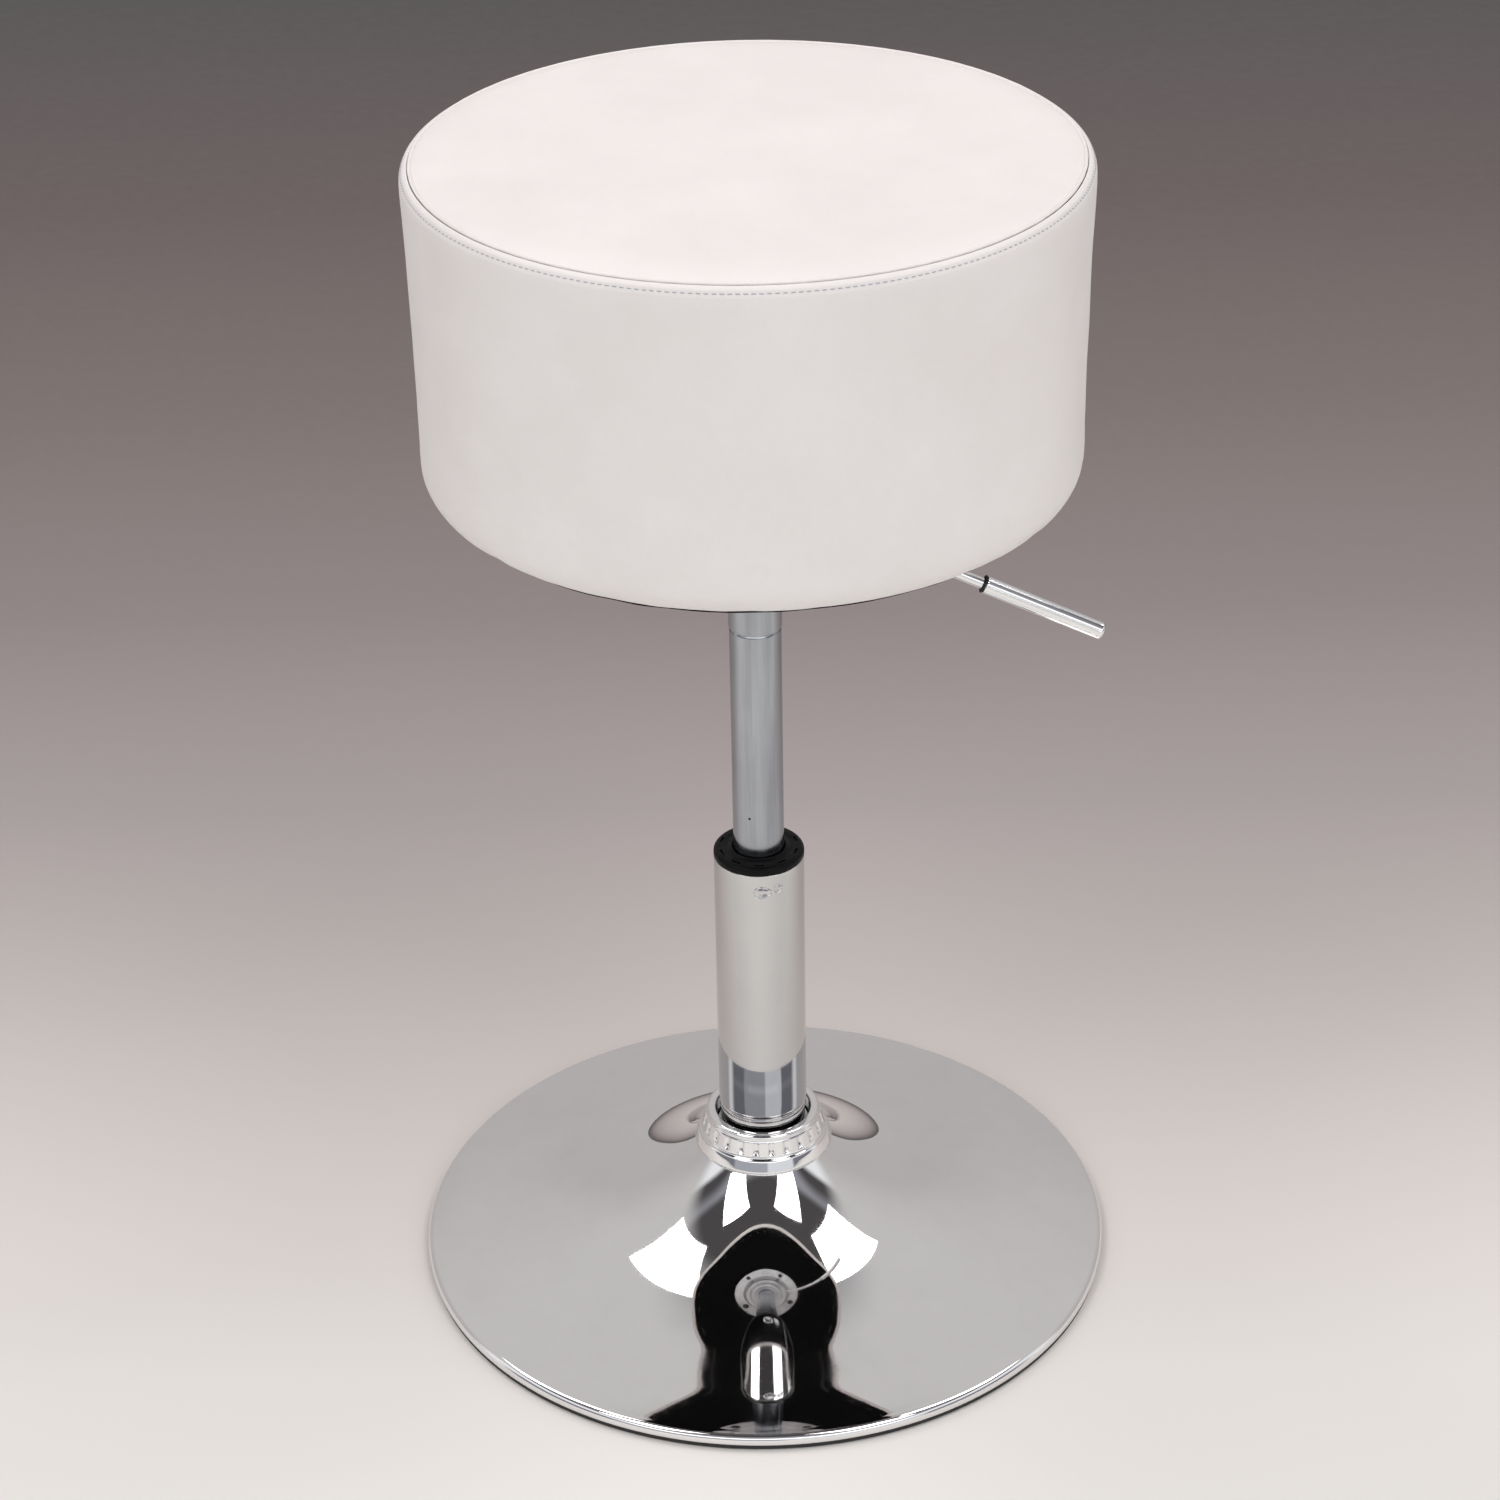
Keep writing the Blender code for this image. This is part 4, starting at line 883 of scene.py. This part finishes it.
def build_seat_plate():
    """The dished plate under the seat, with a stiffening bead, its screw holes and the lever's slot."""
    top = PLATE_TOP
    bottom = top - PLATE_THICKNESS
    floor_top = DISH_FLOOR_TOP
    floor_bottom = floor_top - PLATE_THICKNESS
    hole = 0.0148
    loop = [
        (hole, floor_top, 0.0004),
        (0.0390, floor_top, 0.0018),
        (0.0480, top, 0.0022),
        (PLATE_RADIUS, top, 0.0008),
        (PLATE_RADIUS, bottom, 0.0008),
        (0.0500, bottom, 0.0022),
        (0.0410, floor_bottom, 0.0022),
        (0.0330, floor_bottom, 0.0010),
        (0.0310, floor_bottom + 0.0007, 0.0010),
        (0.0280, floor_bottom + 0.0007, 0.0010),
        (0.0260, floor_bottom, 0.0010),
        (hole, floor_bottom, 0.0006),
    ]
    mesh = turned("seat_mounting_plate", eased(loop), TUBE_SIDES)
    drills = []
    for x, y in PLATE_SCREWS:
        drill = turned("drill", [(0.0, 0.4960), (0.0033, 0.4960), (0.0033, 0.4830), (0.0, 0.4830)], 32)
        drill.transform(Matrix.Translation((x, y, 0.0)))
        drills.append(drill)
    slot = along_lever(block((0.0097, 0.0086, 0.0160), (-0.00075, 0.0, 0.0486), 0.0, 0.0010))
    mesh = cut_out(mesh, [joined("drills", drills), slot])
    piece("seat_mounting_plate", mesh, "zinc_steel", "lift", ["seat_plate"])


def build_plate_screws():
    """Pan-head machine screws with a cross recess."""
    head_top = PLATE_TOP - PLATE_THICKNESS - FIT_GAP
    loop = [
        (0.0, 0.5032),
        (0.0030, 0.5032, 0.0004),
        (0.0030, head_top, 0.0002),
        (0.0058, head_top, 0.0004),
        (0.0057, head_top - 0.0020, 0.0014),
        (0.0028, head_top - 0.0035, 0.0018),
        (0.0, head_top - 0.0036),
    ]
    for index, (x, y) in enumerate(PLATE_SCREWS):
        mesh = turned("plate_pan_screw", eased(loop), 48)
        arms = []
        for turn in (0.0, math.pi / 2):
            size, centre = (0.0052, 0.0010, 0.0040), (0.0, 0.0, head_top - 0.0036)
            arms.append(block(size, centre, turn + 0.6 * index + 0.3, 0.0002))
        for arm in arms:
            mesh = cut_out(mesh, [arm])
        mesh.transform(Matrix.Translation((x, y, 0.0)))
        number = index + 1
        replaced = [f"plate_screw_{number}"]
        piece(f"plate_pan_screw_{number}", mesh, "black_iron", "lift", replaced)


# ---------------------------------------------------------------- lever
def build_lever():
    rod_end = GRIP_END - 0.0060
    rod = [
        (0.0, rod_end),
        (LEVER_RADIUS, rod_end, 0.0003),
        (LEVER_RADIUS, LEVER_INNER_END, 0.0008),
        (0.0, LEVER_INNER_END),
    ]
    mesh = along_lever(turned("lever_bright_rod", eased(rod), 64))
    drill = turned("drill", [(0.0, 0.01), (0.0015, 0.01), (0.0015, -0.01), (0.0, -0.01)], 24)
    across = Matrix.Rotation(math.radians(90.0), 4, "X")
    drill.transform(Matrix.Translation((0.0, 0.0, LEVER_PIVOT)) @ across)
    mesh = cut_out(mesh, [along_lever(drill)])
    piece("lever_bright_rod", mesh, "chrome", "lever", ["lever_rod"], ROD_CHROME)

    bore = LEVER_RADIUS + FIT_GAP
    grip = [
        (0.0, GRIP_END),
        (GRIP_RADIUS - 0.0010, GRIP_END, 0.0010),
        (GRIP_RADIUS, GRIP_END - 0.0012, 0.0006),
        (GRIP_RADIUS, GRIP_START, 0.0003),
        (bore, GRIP_START, 0.0002),
        (bore, rod_end + FIT_GAP, 0.0002),
        (0.0, rod_end + FIT_GAP),
    ]
    # Rows where the grooves run out, from both ends of the straight part
    steps = (0.0006, 0.0012, 0.0018, 0.0024)
    rows = [GRIP_END - 0.0018 - step for step in steps]
    rows += [GRIP_START + 0.0003 + step for step in steps[::-1]]
    outline = with_rows(eased(grip), GRIP_RADIUS, rows)

    def warp(radius, height, angle):
        share = (angle * GRIP_GROOVE_COUNT / (2.0 * math.pi)) % 1.0
        across = 1.0 - smooth_step(np.abs(share - 0.5) * 2.0, 0.06, 0.20)
        along = smooth_step(height, GRIP_START + 0.0002, GRIP_START + 0.0020)
        along = along * (1.0 - smooth_step(height, GRIP_END - 0.0032, GRIP_END - 0.0014))
        outside = np.isclose(radius, GRIP_RADIUS, atol=1e-5)
        return radius - GRIP_GROOVE_DEPTH * across * along * outside

    mesh = along_lever(turned("lever_grooved_grip", outline, GRIP_GROOVE_COUNT * 24, warp, 50.0))
    piece("lever_grooved_grip", mesh, "chrome", "lever", ["lever_grip"], ROD_CHROME)

    near, far = GRIP_START - FIT_GAP - GRIP_RING_WIDTH, GRIP_START - FIT_GAP
    ring = [
        (GRIP_RADIUS + 0.0001, far, 0.0004),
        (GRIP_RADIUS + 0.0001, near, 0.0004),
        (bore, near, 0.0002),
        (bore, far, 0.0002),
    ]
    mesh = along_lever(turned("lever_grip_seal", eased(ring), 64))
    piece("lever_grip_seal", mesh, "black_rubber", "lever", ["grip_ring"])


# ---------------------------------------------------------------- padded seat
def side_outline(inset):
    """The side's cover from the seam to the edge under the seat, without its bulge."""
    top_centre = (SEAT_RADIUS_TOP - TOP_ROLL, SIDE_TOP)
    bottom_centre = (SEAT_RADIUS_BOTTOM - BOTTOM_ROLL, SIDE_BOTTOM)
    points = [(SEAM_RADIUS + PIPING_RADIUS + 0.0002, SEAT_TOP - 0.0030)]
    points.append((points[0][0] + 0.0001, SEAT_TOP - 0.0021))
    points += arc(top_centre, TOP_ROLL, 74.0, 0.0, 9)
    steps = 26
    for step in range(1, steps):
        t = step / steps
        radius = SEAT_RADIUS_TOP + (SEAT_RADIUS_BOTTOM - SEAT_RADIUS_TOP) * t
        height = SIDE_TOP + (SIDE_BOTTOM - SIDE_TOP) * t
        points.append((radius - inset * min(1.0, 4 * t, 4 * (1 - t)), height))
    points += arc(bottom_centre, BOTTOM_ROLL, 0.0, -90.0, 7)
    points += [(0.1500, SEAT_BOTTOM), (0.1470, SEAT_BOTTOM), (WRAP_RADIUS, SEAT_BOTTOM)]
    return points


def disc_grid(radius, cells):
    """A disc as a grid with no pole: positions in the plane, faces, and the rim's vertices in order."""
    line = np.linspace(-1.0, 1.0, cells + 1)
    a, b = np.meshgrid(line, line, indexing="ij")
    wide = np.abs(a) >= np.abs(b)
    safe_a = np.where(a == 0, 1.0, a)
    safe_b = np.where(b == 0, 1.0, b)
    turn = np.where(wide, (math.pi / 4) * (b / safe_a), (math.pi / 2) - (math.pi / 4) * (a / safe_b))
    reach = np.where(wide, a, b)
    x, y = radius * reach * np.cos(turn), radius * reach * np.sin(turn)
    faces = []
    for i in range(cells):
        for j in range(cells):
            corner = i * (cells + 1) + j
            faces.append((corner, corner + cells + 1, corner + cells + 2, corner + 1))
    return np.stack([x.ravel(), y.ravel()], axis=-1), faces


def drum_mesh():
    """The cover before inflation, one closed mesh: top grid, side rings and a plain floor under them."""
    cells = SEAT_SIDES // 4
    top_radius = SEAM_RADIUS - PIPING_RADIUS
    flat, faces = disc_grid(top_radius, cells)
    verts = [(x, y, SEAT_TOP - 0.0008) for x, y in flat]
    rim = [index for index, (x, y) in enumerate(flat) if abs(math.hypot(x, y) - top_radius) < 1e-7]
    rim.sort(key=lambda index: math.atan2(flat[index][1], flat[index][0]) % (2.0 * math.pi))
    angles = [math.atan2(flat[index][1], flat[index][0]) for index in rim]
    previous = rim
    ring_rows = []
    for radius, height in side_outline(SIDE_START_INSET):
        row = []
        for angle in angles:
            row.append(len(verts))
            verts.append((radius * math.cos(angle), radius * math.sin(angle), height))
        ring_rows.append(row)
        for side in range(len(angles)):
            beside = (side + 1) % len(angles)
            faces.append((previous[side], row[side], row[beside], previous[beside]))
        previous = row
    centre = len(verts)
    verts.append((0.0, 0.0, SEAT_BOTTOM))
    for side in range(len(angles)):
        faces.append((previous[side], centre, previous[(side + 1) % len(angles)]))
    return verts, faces, len(flat), rim, ring_rows


def inflated(verts, faces, held):
    """The drum's vertices after the cover is blown up against its held seams."""
    mesh = bpy.data.meshes.new("drum")
    mesh.from_pydata(verts, [], faces)
    drum = added("drum", mesh)
    pins = drum.vertex_groups.new(name="held")
    pins.add(held, 1.0, "REPLACE")
    modifier = drum.modifiers.new("Cloth", "CLOTH")
    cloth = modifier.settings
    cloth.quality = 6
    cloth.mass = 0.25
    cloth.tension_stiffness = 18.0
    cloth.compression_stiffness = 18.0
    cloth.shear_stiffness = 6.0
    cloth.bending_stiffness = 1.2
    cloth.use_pressure = True
    cloth.uniform_pressure_force = SIM_PRESSURE
    cloth.shrink_min = SIM_SLACK
    cloth.effector_weights.gravity = 0.0
    cloth.vertex_group_mass = "held"
    modifier.point_cache.frame_start = 1
    modifier.point_cache.frame_end = SIM_FRAMES
    for step in range(1, SIM_FRAMES + 1):
        bpy.context.scene.frame_set(step)
    graph = bpy.context.evaluated_depsgraph_get()
    swollen = drum.evaluated_get(graph).to_mesh()
    result = np.array([v.co for v in swollen.vertices], float)
    drum.evaluated_get(graph).to_mesh_clear()
    bpy.data.objects.remove(drum)
    bpy.context.scene.frame_set(1)
    return result


def capped(rest, moved, limits):
    """Moves each point no further than about its limit."""
    shift = moved - rest
    far = np.linalg.norm(shift, axis=1)
    limit = np.maximum(limits, 1e-9)
    scale = np.where(far > 1e-9, limit * np.tanh(far / limit) / np.maximum(far, 1e-9), 0.0)
    return rest + shift * scale[:, None]


def field(x, y, z, scale, seed):
    """Smooth noise from -1 to 1 at a point."""
    return noise.noise(Vector((x * scale + seed, y * scale - seed, z * scale)))


def subdivided(name, verts, faces, thickness=0.0):
    """The mesh after one Catmull-Clark subdivision, with an inner skin if it has a thickness."""
    body = added(name + "_rough", raw_mesh(name, verts, faces))
    smooth = body.modifiers.new("smooth", "SUBSURF")
    smooth.levels = 1
    smooth.render_levels = 1
    if thickness:
        wall = body.modifiers.new("wall", "SOLIDIFY")
        wall.thickness = thickness
        wall.offset = -1.0
    graph = bpy.context.evaluated_depsgraph_get()
    result = bpy.data.meshes.new_from_object(body.evaluated_get(graph))
    bpy.data.objects.remove(body)
    result.shade_smooth()
    return result


def seat_points():
    """The cover's vertices at their final places: simulated, capped, then creased and gathered."""
    verts, faces, top_count, rim, rows = drum_mesh()
    rest = np.array(verts, float)
    held = set(rim) | {len(verts) - 1}
    for row, (radius, height) in zip(rows, side_outline(0.0)):
        if height > SIDE_TOP + 0.0005 or radius < 0.1600:
            held |= set(row)
    limits = np.full(len(verts), SIDE_CAP)
    limits[:top_count] = TOP_CAP
    limits[sorted(held)] = 0.0
    moved = inflated(verts, faces, sorted(held))
    placed = capped(rest, moved, limits)
    print("seat swell, mm:", round(float(np.linalg.norm(moved - rest, axis=1).max()) * 1000, 2))
    return placed, faces, top_count, rim, rows


def gathered_side(placed, rows):
    """Puckers under the stitch line, soft wrinkles down the side, and gathers under the seat."""
    stitch_height = SIDE_TOP + TOP_ROLL * math.sin(math.radians(STITCH_ANGLE))
    for row in rows:
        for index in row:
            x, y, z = placed[index]
            radius = math.hypot(x, y)
            out = Vector((x / radius, y / radius, 0.0))
            below = max(stitch_height - z, 0.0)
            pucker = 0.00016 * field(out.x, out.y, 0.0, 26.0, 3.1) * math.exp(-below / 0.014)
            wrinkle = 0.00030 * field(out.x, out.y, z * 9.0, 3.2, 11.7) * min(below / 0.02, 1.0)
            crease = field(out.x * 2.0, out.y * 2.0, z * 26.0, 2.1, 41.0)
            fold = -0.00032 * max(0.0, 1.0 - abs(crease) * 9.0) * min(below / 0.03, 1.0)
            shift = (pucker + wrinkle + fold) * (1.0 if below > 0.0 else 0.35)
            groove = -0.00038 * math.exp(-(((z - stitch_height) / 0.0008) ** 2)) if radius > 0.1690 else 0.0
            if z > SEAT_BOTTOM + 0.004:
                placed[index] += np.array(out * (shift + groove))
            gather = max(0.0, (0.1620 - radius) / 0.0175) if z < SEAT_BOTTOM + 0.004 else 0.0
            phase = 78.0 * math.atan2(y, x) + 3.0 * field(x, y, 0.0, 30.0, 7.0)
            placed[index][2] += 0.00055 * gather * (0.5 + 0.5 * math.sin(phase))
            edge = 0.0009 * field(out.x, out.y, 0.0, 9.0, 23.0) if radius < WRAP_RADIUS + 0.0005 else 0.0
            placed[index][:2] += np.array((out.x, out.y)) * edge
    return placed


def build_seat():
    placed, faces, top_count, rim, rows = seat_points()
    placed = gathered_side(placed, rows)

    top_faces = [face for face in faces if max(face) < top_count]
    top_verts = [tuple(v) for v in placed[:top_count]]
    for index, (x, y, z) in enumerate(top_verts):
        radius = math.hypot(x, y)
        soft = 0.00035 * field(x, y, 0.0, 14.0, 5.5) * (1.0 - smooth_step(radius, 0.150, 0.165))
        top_verts[index] = (x, y, z + 0.0008 * (1.0 - smooth_step(radius, 0.1610, 0.1659)) + soft)
    previous = rim
    top_rows = ((0.16635, SEAT_TOP - 0.0016), (0.16630, SEAT_TOP - 0.0030))
    angles = [math.atan2(placed[index][1], placed[index][0]) for index in rim]
    for radius, height in top_rows:
        row = []
        for angle in angles:
            row.append(len(top_verts))
            top_verts.append((radius * math.cos(angle), radius * math.sin(angle), height))
        for side in range(len(angles)):
            beside = (side + 1) % len(angles)
            top_faces.append((previous[side], row[side], row[beside], previous[beside]))
        previous = row
    mesh = subdivided("seat_top_pad", top_verts, top_faces)
    top = piece("seat_top_pad", mesh, "white_leatherette", "lift", ["cover_top"])

    first = rows[0][0]
    side_faces = []
    for upper, lower in zip(rows, rows[1:]):
        for side in range(len(upper)):
            beside = (side + 1) % len(upper)
            corners = (upper[side], lower[side], lower[beside], upper[beside])
            side_faces.append(tuple(corner - first for corner in corners))
    side_verts = placed[first : rows[-1][-1] + 1]
    mesh = subdivided("seat_side_pad", side_verts, side_faces, 0.0009)
    side = piece("seat_side_pad", mesh, "white_leatherette", "lift", ["cover_side", "foam_core"])


def build_seam():
    """The piping between top and side, and the row of topstitches round the roll."""
    centre = (SEAM_RADIUS + 0.0001, SEAT_TOP - 0.0014)
    outline = arc(centre, PIPING_RADIUS, 0.0, -330.0, 11)

    def warp(radius, height, angle):
        return radius + 0.00006 * np.sin(angle * 61.0 + 2.0 * np.sin(angle * 7.0)) * (radius > SEAM_RADIUS)

    mesh = turned("seat_seam_piping", outline, 384, warp, 60.0)
    piece("seat_seam_piping", mesh, "white_leatherette", "lift", ["seam_piping"])

    tilt = math.radians(STITCH_ANGLE)
    line_radius = SEAT_RADIUS_TOP - TOP_ROLL + (TOP_ROLL - 0.00018) * math.cos(tilt)
    line_height = SIDE_TOP + (TOP_ROLL - 0.00018) * math.sin(tilt)
    sides, rings = 6, (-1.0, -0.86, -0.45, 0.0, 0.45, 0.86, 1.0)
    verts, faces = [], []
    for number in range(STITCH_COUNT):
        angle = 2.0 * math.pi * number / STITCH_COUNT
        lean = 0.10 * noise.noise(Vector((number * 1.37, 0.3, 0.7)))
        around = Vector((-math.sin(angle), math.cos(angle), 0.0))
        out = Vector((math.cos(angle) * math.cos(tilt), math.sin(angle) * math.cos(tilt), math.sin(tilt)))
        up = around.cross(out) * -1.0
        middle = Vector((line_radius * math.cos(angle), line_radius * math.sin(angle), line_height))
        start = len(verts)
        for place in rings:
            sink = 0.00030 * place * place
            swell = math.sqrt(max(1.0 - place**4, 0.02))
            along = place * STITCH_LENGTH / 2
            spot = middle + around * along + up * (lean * along) - out * sink
            for side in range(sides):
                turn = 2.0 * math.pi * side / sides
                offset = out * math.cos(turn) + up * math.sin(turn)
                verts.append(spot + offset * (STITCH_RADIUS * swell))
        for ring in range(len(rings) - 1):
            for side in range(sides):
                beside = (side + 1) % sides
                a, b = start + ring * sides, start + (ring + 1) * sides
                faces.append((a + side, a + beside, b + beside, b + side))
        faces.append(tuple(start + side for side in reversed(range(sides))))
        faces.append(tuple(start + (len(rings) - 1) * sides + side for side in range(sides)))
    mesh = mesh_from("seat_topstitch", verts, faces, 60.0)
    piece("seat_topstitch", mesh, "white_leatherette", "lift", finish=THREAD)


def build_underside():
    """The black dust cover, a little slack between its staples, and the staples. Past the cover's edge the
    black cloth is carried round the bottom roll as painted shade on the roll's underside.
    """
    count = 28
    bottom = PLATE_TOP + FIT_GAP
    roll_start = SEAT_RADIUS_BOTTOM - BOTTOM_ROLL
    flat, faces = disc_grid(CLOTH_AND_PAINTED_SHADE_RADIUS, 72)
    verts = []
    for x, y in flat:
        radius = math.hypot(x, y)
        angle = math.atan2(y, x)
        free = smooth_step(radius, 0.074, 0.092) * (1.0 - smooth_step(radius, 0.126, 0.138))
        sag = -0.00045 * free * (1.0 + field(x, y, 0.0, 22.0, 2.2))
        lap = -CLOTH_LAP * smooth_step(radius, WRAP_RADIUS - 0.0060, WRAP_RADIUS - 0.0015)
        # Past the roll's start the cloth follows the bottom roll, as painted shade on its underside
        past = max(radius - roll_start, 0.0)
        roll = BOTTOM_ROLL - math.sqrt(BOTTOM_ROLL**2 - past**2)
        edge = smooth_step(radius, CLOTH_AND_PAINTED_SHADE_RADIUS - 0.0060, CLOTH_AND_PAINTED_SHADE_RADIUS)
        wave = -0.00025 * edge * (0.5 - 0.5 * math.cos(count * angle))
        reach = 1.0 - 0.0006 * float(edge) * (1.0 + field(x, y, 0.0, 60.0, 9.0)) / max(radius, 0.01)
        verts.append((x * reach, y * reach, bottom + 0.0004 + float(sag + lap + wave) + roll))
    mesh = subdivided("seat_dust_cloth", verts, faces, 0.0004)
    drills = []
    for x, y in PLATE_SCREWS:
        drill = turned("drill", [(0.0, 0.4960), (0.0034, 0.4960), (0.0034, 0.4830), (0.0, 0.4830)], 24)
        drill.transform(Matrix.Translation((x, y, 0.0)))
        drills.append(drill)
    mesh = cut_out(mesh, [joined("drills", drills)])
    piece("seat_dust_cloth", mesh, "black_nonwoven", "lift", ["dust_cover"])

    staples = []
    for index in range(count):
        angle = 2.0 * math.pi * (index + 0.12 * noise.noise(Vector((index * 2.3, 1.0, 0.0)))) / count
        turn = angle + math.pi / 2 + 0.25 * noise.noise(Vector((index * 1.7, 4.0, 0.0)))
        radius = 0.1500 + 0.0010 * noise.noise(Vector((index * 3.1, 8.0, 0.0)))
        centre = (radius * math.cos(angle), radius * math.sin(angle), bottom - CLOTH_LAP - 0.00005)
        staples.append(block((0.0100, 0.0009, 0.00055), centre, turn, 0.0002))
    piece("seat_staples", joined("seat_staples", staples), "black_iron", "lift")


# ---------------------------------------------------------------- carried-over CAD nodes
def finish_cad_nodes():
    """Gives each CAD node that is still shown the finish of its record slot."""
    slots = {}
    for entry in frame["record"].get("materials", []):
        for node in entry.get("nodes", []):
            slots[node] = entry["slot"]
    for name, node in nodes.items():
        slot = slots.get(name) or node.data.materials[0].name.split(".")[0]
        node.data.materials.clear()
        node.data.materials.append(FINISHES.get(slot, FINISHES["zinc_steel"]))


# ---------------------------------------------------------------- studio
def softbox(name, azimuth, elevation, width, height):
    """A rectangular light in a direction from the base; width and height per metre of distance."""
    data = bpy.data.lights.new(name, "AREA")
    data.shape = "RECTANGLE"
    data.size = width * LIGHT_DISTANCE
    data.size_y = height * LIGHT_DISTANCE
    data.energy = LIGHT_POWER
    data.color = LIGHT_COLOUR
    light = added(name, data)
    turn, rise = math.radians(azimuth), math.radians(elevation)
    direction = Vector((math.cos(turn) * math.cos(rise), math.sin(turn) * math.cos(rise), math.sin(rise)))
    light.location = direction * LIGHT_DISTANCE
    light.rotation_euler = direction.to_track_quat("Z", "Y").to_euler()


def studio_world():
    """The studio: pale panels at both sides, grey behind, dark over the camera, a dim room low down."""
    world = bpy.data.worlds.new("studio")
    bpy.context.scene.world = world
    world.use_nodes = True
    tree = world.node_tree
    place = tree.nodes.new("ShaderNodeTexCoord")
    split = tree.nodes.new("ShaderNodeSeparateXYZ")
    tree.links.new(place.outputs["Generated"], split.inputs["Vector"])

    def between(axis, low, high):
        """From 0 to 1 as the direction's component along an axis goes from low to high."""
        made = tree.nodes.new("ShaderNodeMapRange")
        made.interpolation_type = "SMOOTHSTEP"
        tree.links.new(split.outputs[axis], made.inputs["Value"])
        made.inputs["From Min"].default_value = low
        made.inputs["From Max"].default_value = high
        return made.outputs["Result"]

    def mixed(share, first, second):
        """A blend of two colours, each a tuple or another blend."""
        made = tree.nodes.new("ShaderNodeMix")
        made.data_type = "RGBA"
        tree.links.new(share, made.inputs["Factor"])
        for socket, colour in zip((made.inputs["A"], made.inputs["B"]), (first, second)):
            if isinstance(colour, tuple):
                socket.default_value = (*colour, 1.0)
            else:
                tree.links.new(colour, socket)
        return made.outputs["Result"]

    front = mixed(between("Z", 0.45, 0.62), PALE_FRONT, GREY_FRONT)
    front = mixed(between("Z", 0.80, 0.85), front, DARK_ABOVE_CAMERA)
    side = mixed(between("Z", 0.64, 0.70), PALE_PANEL, DARK_ABOVE_CAMERA)
    behind = mixed(between("Z", 0.35, 0.75), GREY_LOW_BEHIND, GREY_BEHIND)
    behind = mixed(between("Z", 0.84, 0.96), behind, GREY_OVERHEAD)
    whole = mixed(between("X", 0.56, 0.68), front, side)
    whole = mixed(between("X", -0.56, -0.68), whole, side)
    whole = mixed(between("Y", 0.04, 0.24), whole, behind)
    low = mixed(between("X", 0.06, 0.14), GREY_ROOM, HALF_LIT_ROOM)
    low = mixed(between("X", 0.70, 0.76), low, DIM_ROOM)
    low = mixed(between("X", -0.70, -0.76), low, DIM_ROOM)
    low = mixed(between("Y", -0.20, 0.02), low, whole)
    whole = mixed(between("Z", 0.28, 0.38), low, whole)
    tree.links.new(whole, tree.nodes["Background"].inputs["Color"])


def build_studio():
    far = FLOOR_HALF
    corners = [(-far, -far, 0), (far, -far, 0), (far, far, 0), (-far, far, 0)]
    mesh = mesh_from("floor", corners, [(0, 1, 2, 3)])
    mesh.materials.append(floor_finish())
    floor = added("studio_floor", mesh)
    floor.location.z = -FLOOR_DROP
    studio_world()
    for name, box in SOFTBOXES.items():
        softbox(name, *box)


def build_camera():
    yaw, pitch, roll = (math.radians(angle) for angle in CAMERA_TURN)
    forward = Vector((math.sin(yaw) * math.cos(pitch), math.cos(yaw) * math.cos(pitch), -math.sin(pitch)))
    level = forward.cross(Vector((0.0, 0.0, 1.0))).normalized()
    upright = level.cross(forward)
    right = math.cos(roll) * level + math.sin(roll) * upright
    up = -math.sin(roll) * level + math.cos(roll) * upright
    data = bpy.data.cameras.new("camera")
    data.lens = CAMERA_LENS
    data.sensor_width = CAMERA_SENSOR
    camera = added("camera", data)
    turn = Matrix((right, up, -forward)).transposed().to_4x4()
    camera.matrix_world = Matrix.Translation(CAMERA_PLACE) @ turn
    bpy.context.scene.camera = camera
    bpy.context.scene.view_settings.view_transform = "Standard"


build_base()
build_collar()
build_stand_tube()
build_guide_bush()
build_pressure_tube()
build_seat_plate()
build_plate_screws()
build_lever()
build_seat()
build_seam()
build_underside()
finish_cad_nodes()
build_studio()
build_camera()
